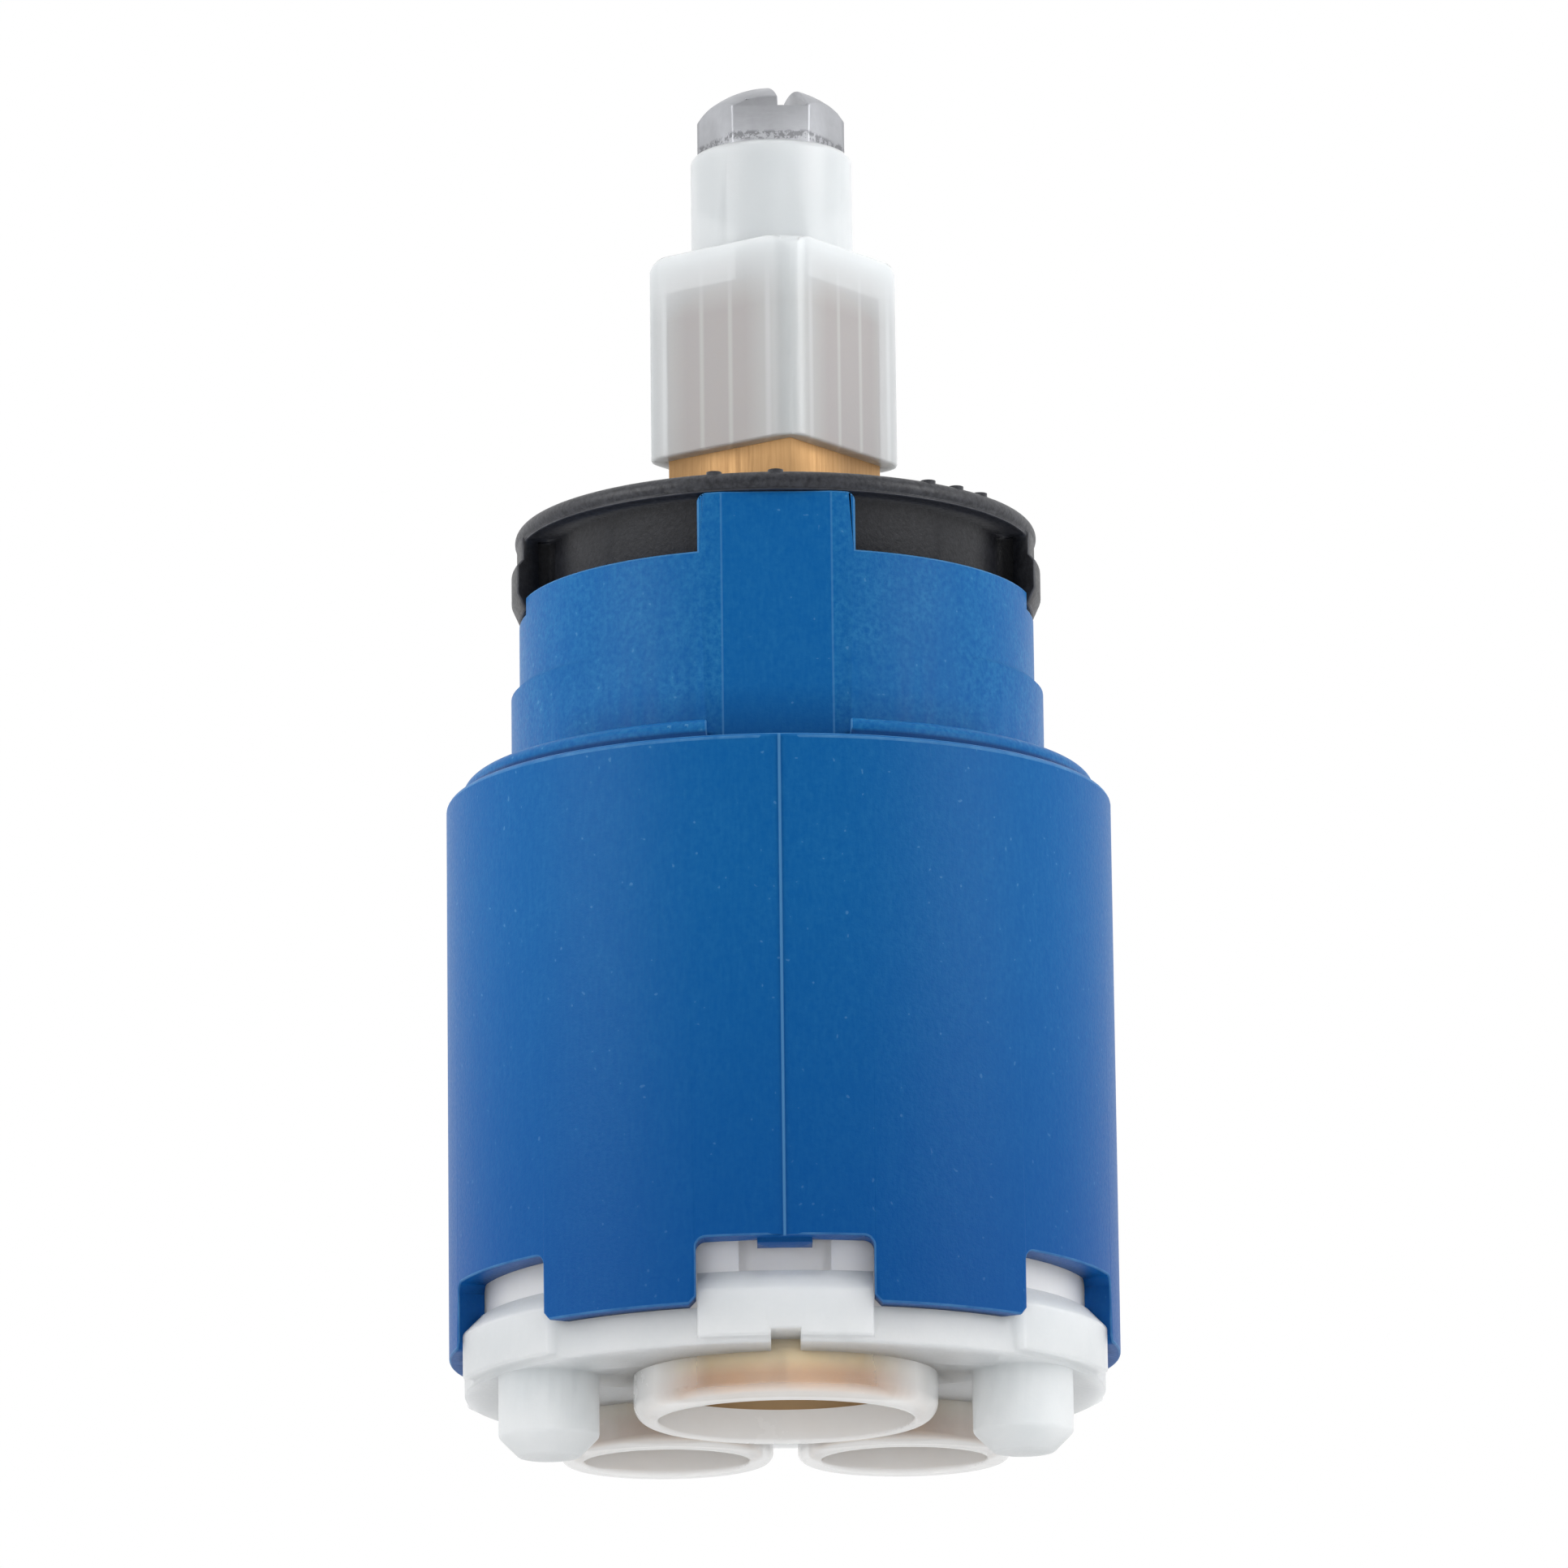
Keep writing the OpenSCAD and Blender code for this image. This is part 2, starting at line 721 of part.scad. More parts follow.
module rotor() {
    color("#c9ccc8")
        turned()
            difference() {
                union() {
                    translate([0, 0, drum_z0]) cylinder(r = drum_r, h = drum_z1 - drum_z0);
                    translate([0, 0, drum_z0]) cylinder(r = hub_r, h = hub_top_z - drum_z0);
                    translate([0, 0, drum_z0]) cylinder(r = nose_r, h = rotor_top_z - drum_z0);
                }
                stop_sector();
                translate([-boss_w / 2 - run_clear, -boss_w / 2 - gap, drum_z0 - past])
                    cube([boss_w + 2 * run_clear, boss_w + travel + 2 * gap,
                          channel_top_z - drum_z0 + past]);
                translate([-ball_r - gap, -ball_r - gap, channel_top_z - past])
                    cube([2 * (ball_r + gap), 2 * (ball_r + gap) + travel,
                          ball_room_z - channel_top_z + past]);
                blade_slot();
                translate([-hub_r - past, 0, pivot_z])
                    rotate([0, 90, 0])
                        cylinder(r = pivot_r + seat_clear / 2, h = 2 * (hub_r + past));
                tube(hub_r + past, hub_r - 2 * ring_seal_r, ring_seal_z - ring_seal_r - seat_clear,
                     ring_seal_z + ring_seal_r + seat_clear);
            }
}

module rotor_seal() {
    color("#26272b")
        turned()
            rotate_extrude()
                translate([hub_r - ring_seal_r + seat_clear / 2, ring_seal_z])
                    circle(ring_seal_r);
}

module pivot_pin() {
    color("#b4b7bb")
        turned()
            translate([-hub_r + 1, 0, pivot_z])
                rotate([0, 90, 0])
                    cylinder(r = pivot_r, h = 2 * (hub_r - 1));
}

module moving_disc() {
    color("#ece8dc")
        turned()
            translate([0, disc_back, 0])
                difference() {
                    translate([0, 0, fixed_top_z])
                        linear_extrude(moving_t)
                            difference() {
                                circle(moving_r);
                                translate([0, -disc_back]) circle(chamber_r);
                                translate([0, chamber_front_y - disc_back]) circle(chamber_front_r);
                            }
                    disc_keys(moving_r, disc_notch_depth, disc_notch_w,
                              moving_top_z - drive_h, moving_top_z + past);
                }
}

module chamber_seal() {
    color("#33353a")
        turned()
            translate([0, disc_back, moving_top_z])
                tube(chamber_seal_r + chamber_seal_t, chamber_seal_r, 0, chamber_seal_h);
}

// Drives of the carrier that fill the side notches of the moving disc
module carrier_drives() {
    translate([0, disc_back, 0])
        intersection() {
            disc_keys(moving_r, disc_notch_depth - seat_clear, disc_notch_w - 2 * seat_clear,
                      moving_top_z - drive_h + seat_clear, moving_top_z + past);
            cylinder(r = moving_r - plate_inset, h = plate_top_z);
        }
}

module disc_carrier() {
    color("#d8dad6")
        turned()
            difference() {
                union() {
                    translate([0, disc_back, moving_top_z])
                        cylinder(r = moving_r - plate_inset, h = plate_t);
                    translate([-boss_w / 2, -boss_w / 2, moving_top_z])
                        cube([boss_w, boss_w, boss_top_z - moving_top_z]);
                    carrier_drives();
                }
                translate([0, disc_back, moving_top_z])
                    tube(chamber_seal_r + chamber_seal_t + seat_clear,
                         chamber_seal_r - seat_clear, -past, chamber_seal_h);
                translate([0, 0, bush_floor_z])
                    cylinder(r = ball_r + ball_play + bush_t + seat_clear, h = boss_top_z);
            }
}

// Wear bush that the ball of the spindle works in
module carrier_bush() {
    color("#a8abae")
        turned()
            tube(ball_r + ball_play + bush_t, ball_r + ball_play, bush_floor_z, boss_top_z);
}

// Square bar with its top end turned to a chamfer
module square_bar() {
    reach_r = square_w;
    intersection() {
        rotate([0, 0, 45])
            translate([-square_w / 2, -square_w / 2, square_foot_z])
                cube([square_w, square_w, spindle_top_z - square_foot_z]);
        rotate_extrude()
            polygon([[0, square_foot_z - past], [reach_r, square_foot_z - past],
                     [reach_r, spindle_top_z - square_slope * (reach_r - square_chamfer_r)],
                     [square_chamfer_r, spindle_top_z], [square_chamfer_r, spindle_top_z + past],
                     [0, spindle_top_z + past]]);
    }
}

// Ball and stem at the spindle's foot
module ball_stem() {
    rotate_extrude() {
        translate([0, ball_z])
            intersection() {
                circle(ball_r);
                translate([0, -ball_d]) square(2 * ball_d);
            }
        translate([0, ball_z]) square([stem_r, blade_foot_z + past - ball_z]);
    }
}

module lever_spindle() {
    color("#b08048")
        turned()
            difference() {
                union() {
                    ball_stem();
                    translate([-blade_t / 2, -blade_w / 2, blade_foot_z])
                        cube([blade_t, blade_w, square_foot_z + past - blade_foot_z]);
                    square_bar();
                }
                translate([-square_w, 0, pivot_z])
                    rotate([0, 90, 0])
                        cylinder(r = pivot_r + seat_clear, h = 2 * square_w);
                translate([0, 0, spindle_top_z - shank_in - gap])
                    cylinder(r = shank_r + seat_clear, h = shank_in + gap + past);
            }
}

// Outside of the sleeve: rounded square below, with softened upper corners, and round above
module sleeve_outside() {
    corner_r = sleeve_w / sqrt(2) - sleeve_corner * (sqrt(2) - 1);
    intersection() {
        translate([0, 0, sleeve_z0])
            linear_extrude(sleeve_square_h)
                rotate(45) round_square(sleeve_w, sleeve_corner);
        rotate_extrude() {
            translate([0, sleeve_z0 - past])
                square([corner_r, sleeve_square_h + past - sleeve_round]);
            translate([0, sleeve_step_z - 2 * sleeve_round])
                square([corner_r - sleeve_round, 2 * sleeve_round]);
            translate([corner_r - sleeve_round, sleeve_step_z - sleeve_round])
                circle(sleeve_round);
        }
    }
    chamfered(sleeve_round_d / 2, sleeve_step_z - past, sleeve_top_z, edge_chamfer);
}

module spindle_sleeve() {
    socket_w = square_w + 2 * seat_clear;
    color("#cdd4d8")
        turned()
            difference() {
                sleeve_outside();
                rotate([0, 0, 45])
                    translate([-socket_w / 2, -socket_w / 2, sleeve_z0 - past])
                        cube([socket_w, socket_w, spindle_top_z - sleeve_z0 + past]);
                cylinder(r = shank_r + seat_clear, h = sleeve_top_z);
                rotate([0, 0, -rest_turn])
                    translate([0, 0, hex_seat_z])
                        cylinder(r = hex_r + seat_clear, h = hex_seat + past, $fn = 6);
            }
}

// Screw with a domed hexagon head and a slot across it
module spindle_screw() {
    dome_r = (hex_r * hex_r + dome_h * dome_h) / (2 * dome_h);
    color("#aaacb2") {
        difference() {
            intersection() {
                translate([0, 0, hex_seat_z])
                    cylinder(r = hex_r, h = hex_top_z - hex_seat_z, $fn = 6);
                translate([0, 0, hex_top_z - dome_r]) sphere(dome_r);
            }
            rotate([90, 0, slot_turn])
                translate([slot_side, 0, -hex_d])
                    linear_extrude(2 * hex_d)
                        translate([-slot_w / 2, hex_top_z - slot_depth])
                            square([slot_w, 2 * slot_depth]);
        }
        translate([0, 0, spindle_top_z - shank_in])
            cylinder(r = shank_r, h = hex_seat_z + seat_clear - spindle_top_z + shank_in);
    }
}

housing();
cap_ring();
base();
outlet_seal();
inlet_seal_left();
inlet_seal_right();
outlet_support_ring();
inlet_support_ring_left();
inlet_support_ring_right();
disc_seal_outlet();
disc_seal_left();
disc_seal_right();
fixed_disc();
glide_ring();
rotor();
rotor_seal();
pivot_pin();
moving_disc();
chamber_seal();
disc_carrier();
carrier_bush();
lever_spindle();
spindle_sleeve();
spindle_screw();
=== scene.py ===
"""Looks of a single-lever mixer cartridge: softened solids, finishes, stage and camera."""
import json
import math

import bmesh
import bpy
from bpy.props import FloatProperty, FloatVectorProperty, PointerProperty
from mathutils import Matrix, Vector

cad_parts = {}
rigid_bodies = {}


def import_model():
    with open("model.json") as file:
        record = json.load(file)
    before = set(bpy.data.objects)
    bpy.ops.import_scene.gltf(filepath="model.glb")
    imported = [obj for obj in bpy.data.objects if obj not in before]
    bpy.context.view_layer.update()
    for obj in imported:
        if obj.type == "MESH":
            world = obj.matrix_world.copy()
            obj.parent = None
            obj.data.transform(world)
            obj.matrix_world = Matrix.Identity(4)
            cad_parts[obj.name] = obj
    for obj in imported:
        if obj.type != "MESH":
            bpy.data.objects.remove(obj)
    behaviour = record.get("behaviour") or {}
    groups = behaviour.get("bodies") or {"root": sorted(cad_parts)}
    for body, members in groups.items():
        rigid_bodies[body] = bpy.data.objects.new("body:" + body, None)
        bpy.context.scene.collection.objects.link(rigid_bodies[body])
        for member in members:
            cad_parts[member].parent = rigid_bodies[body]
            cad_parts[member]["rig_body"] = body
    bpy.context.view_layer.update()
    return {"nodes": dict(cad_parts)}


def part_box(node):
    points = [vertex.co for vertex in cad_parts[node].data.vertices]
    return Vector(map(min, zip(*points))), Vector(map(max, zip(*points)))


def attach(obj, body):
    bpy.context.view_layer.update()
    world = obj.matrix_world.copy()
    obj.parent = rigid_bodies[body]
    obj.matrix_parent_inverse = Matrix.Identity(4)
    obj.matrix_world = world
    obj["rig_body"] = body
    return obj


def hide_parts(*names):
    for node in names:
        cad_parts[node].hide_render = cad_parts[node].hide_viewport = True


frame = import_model()
NODES = frame["nodes"]

bl_info = {
    "name": "Mixer cartridge",
    "version": (1, 0, 0),
    "blender": (4, 5, 0),
    "location": "3D View > Sidebar > Cartridge",
    "description": "Finishes the packed solids of a ceramic disc tap cartridge",
    "category": "Object",
}

# Meshes: vertices merged within MERGE, faces joined below COPLANAR, edges rounded above SHARP
MERGE = 5e-7
COPLANAR = math.radians(0.3)
SHARP = math.radians(28)
SMOOTH = math.radians(50)
BEVEL_STEPS = 2
INWARDS = -1e-4

# Camera, and the spindle's turn in the photograph
PHOTO_SIDE = 1932
SENSOR = 36.0
CLIP_START = 0.01
REST_TURN = math.radians(8)

# Spans on the solids over which a finish, its painted shade or its painted highlight changes, in metres
# SKIRT_SHADE: span of the painted shade that darkens the barrel towards the skirt
SKIRT_SHADE = (0.004, 0.024)
BARREL_FRONT = (-0.0170, -0.0172)
STEP_WALL = (0.0171, 0.0172)
NECK_START = (0.0312, 0.0320)
# NECK_FOOT and NECK_WALL: span of the painted shade at the foot of the neck's flat
NECK_FOOT = (0.0316, 0.0350)
NECK_WALL = (0.01365, 0.0138)
KEY_FRONT = (-0.0128, -0.0130)
KEY_FLAT = (0.00280, 0.00290)
CAP_RIM = (0.0452, 0.0454)
BASE_LEDGE = (0.0012, 0.0016)
BASE_WALL = (0.0158, 0.0162)
SEAL_FOOT = (-0.00215, -0.0015)
REAR_PORTS = (0.0, 0.002)
RINGS_TOP = (0.02, 0.03)
# RING_LIP: span of the painted highlight on the rings' top lip
RING_LIP = (-0.0010, -0.0003)
SLEEVE_FACE = (0.0003, 0.0022)
SLEEVE_SQUARE = (0.0574, 0.0606)

# Narrow lines on the solids, in metres: middle, half width and soft side
SEAM_LINE = (0.0, 0.00004, 0.00006)
# STEP_LINE: line of painted shade under the step at the shoulder
STEP_LINE = (0.0316, 0.00022, 0.00016)
# KEY_LINE: painted highlight along the edges of the key flat
KEY_LINE = (0.00286, 0.00003, 0.00004)
FLOW_LINES = ((0.00115, 0.00005, 0.00012), (0.0029, 0.00004, 0.00010))
SCREW_LINE = (0.06735, 0.00016, 0.00016)

# Limits of the edges that are rounded, in metres
SEAM_HALF, SEAM_FRONT = 0.0002, -0.0165
RIB_LOW, RIB_HIGH = 0.0366, 0.0382
SHOULDER, BARREL_OUTSIDE, NECK_OUTSIDE = 0.03155, 0.0172, 0.0132
CAP_OUTSIDE, CAP_TOP = 0.0131, 0.0455
BASE_OUTSIDE, BASE_UNDER = 0.0166, -0.0003
SPINDLE_SHOWN, SLEEVE_OUTSIDE, SCREW_SHOWN = 0.047, 0.0041, 0.0665

# Finishes of the pieces inside: pale colour, deep colour and roughness
PLAIN_FINISHES = {
    "dark_rubber": ((0.016, 0.016, 0.018), (0.026, 0.026, 0.028), 0.50),
    "disc_ceramic": ((0.86, 0.84, 0.78), (0.80, 0.77, 0.70), 0.22),
    "glide_plastic": ((0.85, 0.86, 0.85), (0.78, 0.79, 0.78), 0.40),
    "grey_plastic": ((0.56, 0.58, 0.56), (0.48, 0.50, 0.49), 0.46),
}
INSIDE = {
    "dark_rubber": ("disc_seal_outlet", "disc_seal_left", "disc_seal_right", "rotor_seal", "chamber_seal"),
    "disc_ceramic": ("fixed_disc", "moving_disc"),
    "glide_plastic": ("glide_ring",),
    "grey_plastic": ("rotor", "disc_carrier"),
    "pin_steel": ("pivot_pin", "carrier_bush"),
}

# Floor and lights: name, place, target, width, height, power and the pieces that it lights, if not all
FLOOR_RADIUS, FLOOR_SIDES = 1.6, 64
FLOOR_PALE, FLOOR_DEEP = (0.86, 0.86, 0.86), (0.84, 0.84, 0.84)
MIDDLE = (0.0, 0.0, 0.033)
PALE_PIECES = ("base_plate", "outlet_gasket", "inlet_gasket_left", "inlet_gasket_right", "outlet_hoop",
               "inlet_hoop_left", "inlet_hoop_right", "square_spindle", "square_sleeve", "tip_screw")
LIGHTS = (
    ("left_box", (-0.132, -0.070, 0.080), MIDDLE, 0.09, 0.09, 0.095, ()),
    ("right_box", (0.132, -0.070, 0.080), MIDDLE, 0.09, 0.09, 0.095, ()),
    ("top_box", (-0.15, -0.45, 0.75), MIDDLE, 0.7, 0.7, 0.5, ()),
    ("front_fill", (0.0, -0.29, -0.005), (0.0, 0.0, 0.0), 0.40, 0.12, 0.42, PALE_PIECES),
)


def length(name, description, default):
    """A size in metres that a user may change."""
    return FloatProperty(name=name, description=description, default=default, min=0.0,
                         precision=5, subtype="DISTANCE", unit="LENGTH")


def colour(name, description, default):
    """A linear colour that a user may change."""
    return FloatVectorProperty(name=name, description=description, default=default, size=3,
                               min=0.0, max=1.0, subtype="COLOR")


class CartridgeSizes(bpy.types.PropertyGroup):
    """Roundings of the edges, the height of the cap ring's marks and the play round the rings"""
    barrel_edge: length("Barrel edge", "Rounding of the housing's edges", 0.00010)
    cap_edge: length("Cap edge", "Rounding of the cap ring's edges", 0.00010)
    base_edge: length("Base edge", "Rounding of the base's edges", 0.00014)
    sleeve_edge: length("Sleeve edge", "Rounding of the sleeve's edges", 0.00012)
    metal_edge: length("Metal edge", "Rounding of the spindle's and the screw's edges", 0.00006)
    ring_play: length("Ring play", "Play between a brass ring and its seal, on each side", 0.00006)
    mark_height: length("Mark height", "Height of the cap ring's small marks on the solid", 0.00028)
    mark_worn: FloatProperty(name="Worn marks", description="Share of their height that the worn marks keep",
                             default=0.4, min=0.0, max=1.0, subtype="FACTOR")


class CartridgeColours(bpy.types.PropertyGroup):
    """Colours of the finishes, and of their painted shade and painted highlights"""
    barrel: colour("Barrel", "Blue of the housing", (0.0040, 0.117, 0.382))
    # Painted shade: deeper blue that darkens the barrel towards the skirt
    barrel_painted_low_shade: colour("Deep barrel", "Deeper blue towards the skirt", (0.0040, 0.056, 0.290))
    barrel_bloom: colour("Barrel bloom", "Paler blue of the frosted skin", (0.022, 0.190, 0.450))
    # Painted shade: dark blue at the foot of the neck's flat and under the step at the shoulder
    barrel_painted_corner_shade: colour("Barrel shade", "Dark blue in the corners of the shoulder", (0.0020, 0.026, 0.130))
    # Pale specks, and the painted highlights on the rounded edges and the key lines
    barrel_specks_and_highlight: colour("Barrel rub", "Blue where edges are rubbed pale", (0.120, 0.330, 0.600))
    cap: colour("Cap", "Black of the cap ring", (0.0110, 0.0115, 0.0150))
    # Grey of the random frosting and the rim, and of the painted highlights on the cap ring's edges
    cap_grey_and_highlight: colour("Cap rub", "Grey of the cap ring's edges", (0.100, 0.104, 0.120))
    natural: colour("Natural plastic", "White of the base", (0.565, 0.583, 0.595))
    natural_deep: colour("Natural plastic, deep", "Cooler white in the base", (0.520, 0.545, 0.560))
    # Painted light: the thin wall behind the notches painted paler, for the light that shines through it
    natural_painted_light: colour("Natural plastic, thin", "Paler white of the thin wall behind the notches",
                         (0.970, 0.970, 0.975))
    silicone: colour("Silicone", "Clear milky seal", (0.930, 0.925, 0.915))
    silicone_deep: colour("Silicone, deep", "Milkier parts of the seal", (0.880, 0.880, 0.875))
    sleeve: colour("Sleeve", "Milky white of the sleeve", (0.575, 0.600, 0.614))
    sleeve_edge: colour("Sleeve edges", "Milky grey of the corners of the square", (0.425, 0.444, 0.454))
    sleeve_backed: colour("Sleeve over brass", "Milky white with the brass close behind",
                          (0.360, 0.349, 0.353))
    brass: colour("Brass", "Yellow metal", (0.520, 0.320, 0.150))
    brass_ring: colour("Ring brass", "Bright sheet brass of the rings", (0.860, 0.610, 0.345))
    # Painted highlight: paler top lip of the rings
    brass_painted_highlight: colour("Ring lip", "Paler lip of the rings", (1.000, 0.900, 0.620))
    # Browner streaks in the brass, and painted shade on the rings' inner faces
    brass_dull_and_shade: colour("Dull brass", "Browner streaks in the brass", (0.390, 0.230, 0.105))
    steel: colour("Plated steel", "Grey of the screw", (0.470, 0.480, 0.505))
    steel_dull: colour("Dull plating", "Darker patches of the plating", (0.360, 0.365, 0.385))
    # Dark specks in a band round the screw, above the sleeve
    steel_speck_band: colour("Marked plating", "Dark specks round the screw", (0.035, 0.036, 0.040))
    pin: colour("Ground steel", "Grey of the pivot pin and the bush", (0.62, 0.63, 0.65))
    pin_dull: colour("Dull steel", "Darker streaks of the ground steel", (0.48, 0.49, 0.51))


class StageSettings(bpy.types.PropertyGroup):
    """Floor, light and camera"""
    floor_drop: length("Floor drop", "Height of the object's origin above the floor", 0.135)
    camera_distance: length("Camera distance", "Distance from the camera to its target", 0.58181)
    camera_height: length("Target height", "Height of the camera's target on the axis", 0.032722)
    camera_side: length("Target side", "Place of the camera's target to the right", 0.000303)
    elevation: FloatProperty(name="Elevation", description="Camera's angle above the horizon",
                             default=math.radians(-12.8157), subtype="ANGLE", unit="ROTATION")
    azimuth: FloatProperty(name="Azimuth", description="Camera's turn about the axis",
                           default=math.radians(-0.2412), subtype="ANGLE", unit="ROTATION")
    roll: FloatProperty(name="Roll", description="Camera's turn about its own line of sight",
                        default=math.radians(-0.6785), subtype="ANGLE", unit="ROTATION")
    focal_pixels: FloatProperty(name="Focal length", description="Focal length in picture pixels",
                                default=13590.0, min=100.0)


# Shader node groups

def new_group(name, inputs, outputs):
    """Shader node group with value, vector or colour sockets: (name, kind, default)."""
    kinds = {"value": "NodeSocketFloat", "vector": "NodeSocketVector", "colour": "NodeSocketColor"}
    group = bpy.data.node_groups.new(name, "ShaderNodeTree")
    for socket, kind, default in inputs:
        made = group.interface.new_socket(socket, in_out="INPUT", socket_type=kinds[kind])
        if default is not None:
            made.default_value = default
    for socket, kind in outputs:
        group.interface.new_socket(socket, in_out="OUTPUT", socket_type=kinds[kind])
    return group, group.nodes.new("NodeGroupInput"), group.nodes.new("NodeGroupOutput")


def join(tree, start, end):
    """Links one socket to another."""
    tree.links.new(start, end)


def noise(tree, vector, scale, detail=3.0, roughness=0.55):
    """Noise texture on a vector, with the scale as a number or a socket."""
    texture = tree.nodes.new("ShaderNodeTexNoise")
    texture.inputs["Detail"].default_value = detail
    texture.inputs["Roughness"].default_value = roughness
    join(tree, vector, texture.inputs["Vector"])
    if isinstance(scale, (int, float)):
        texture.inputs["Scale"].default_value = scale
    else:
        join(tree, scale, texture.inputs["Scale"])
    return texture.outputs["Fac"]


def spread(tree, value, low, high, to_low=0.0, to_high=1.0):
    """Value mapped from one span to another, and held inside it."""
    node = tree.nodes.new("ShaderNodeMapRange")
    node.inputs["From Min"].default_value = low
    node.inputs["From Max"].default_value = high
    node.inputs["To Min"].default_value = to_low
    node.inputs["To Max"].default_value = to_high
    join(tree, value, node.inputs["Value"])
    return node.outputs["Result"]


def arithmetic(tree, operation, first, second):
    """Math node on two sockets or numbers."""
    node = tree.nodes.new("ShaderNodeMath")
    node.operation = operation
    for place, value in enumerate((first, second)):
        if isinstance(value, (int, float)):
            node.inputs[place].default_value = value
        else:
            join(tree, value, node.inputs[place])
    return node.outputs["Value"]


def blend_colours(tree, factor, first, second):
    """Mix of two colours, each a tuple or a socket."""
    node = tree.nodes.new("ShaderNodeMix")
    node.data_type = "RGBA"
    join(tree, factor, node.inputs[0])
    for socket, value in ((node.inputs[6], first), (node.inputs[7], second)):
        if isinstance(value, bpy.types.NodeSocket):
            join(tree, value, socket)
        else:
            socket.default_value = (*value, 1.0)
    return node.outputs[2]


def stretched(tree, vector, scale):
    """Vector multiplied along each axis, for patterns that run one way."""
    node = tree.nodes.new("ShaderNodeMapping")
    node.inputs["Scale"].default_value = scale
    join(tree, vector, node.inputs["Vector"])
    return node.outputs["Vector"]


def moulded_skin_group():
    """Grain, cloudy mottling, frosting and pale specks of a moulded surface."""
    group, start, end = new_group(
        "moulded_skin",
        [("Vector", "vector", None), ("Grain Scale", "value", 5200.0), ("Cloud Scale", "value", 420.0),
         ("Frost Scale", "value", 3400.0), ("Speck Scale", "value", 3400.0)],
        [("Grain", "value"), ("Cloud", "value"), ("Frost", "value"), ("Specks", "value")])
    vector = start.outputs["Vector"]
    grain = noise(group, vector, start.outputs["Grain Scale"], 2.0, 0.6)
    cloud = noise(group, vector, start.outputs["Cloud Scale"], 5.0, 0.62)
    frost = noise(group, vector, start.outputs["Frost Scale"], 4.0, 0.65)
    speck = noise(group, vector, start.outputs["Speck Scale"], 0.0, 0.5)
    join(group, spread(group, grain, 0.25, 0.75), end.inputs["Grain"])
    join(group, spread(group, cloud, 0.32, 0.68), end.inputs["Cloud"])
    join(group, spread(group, frost, 0.36, 0.66), end.inputs["Frost"])
    join(group, spread(group, speck, 0.825, 0.86), end.inputs["Specks"])
    return group


def painted_edge_highlight_group():
    """Mask of the rounded edges, broken up in patches, for a painted highlight."""
    group, start, end = new_group(
        "painted_edge_highlight", [("Vector", "vector", None), ("Amount", "value", 0.6)], [("Mask", "value")])
    band = group.nodes.new("ShaderNodeAttribute")
    band.attribute_name = "edge_band"
    patches = spread(group, noise(group, start.outputs["Vector"], 900.0, 3.0), 0.3, 0.7, 0.35, 1.0)
    rubbed = arithmetic(group, "MULTIPLY", band.outputs["Fac"], patches)
    join(group, arithmetic(group, "MULTIPLY", rubbed, start.outputs["Amount"]), end.inputs["Mask"])
    return group


def drawn_metal_group():
    """Fine streaks that run one way, and slow dull patches, of drawn or turned metal."""
    group, start, end = new_group(
        "drawn_metal", [("Streak Vector", "vector", None), ("Vector", "vector", None)],
        [("Streak", "value"), ("Patch", "value")])
    streak = noise(group, start.outputs["Streak Vector"], 1.0, 4.0, 0.6)
    patch = noise(group, start.outputs["Vector"], 320.0, 4.0, 0.6)
    join(group, spread(group, streak, 0.28, 0.72), end.inputs["Streak"])
    join(group, spread(group, patch, 0.3, 0.7), end.inputs["Patch"])
    return group


def shared(name, build):
    """A node group, built once."""
    return bpy.data.node_groups.get(name) or build()


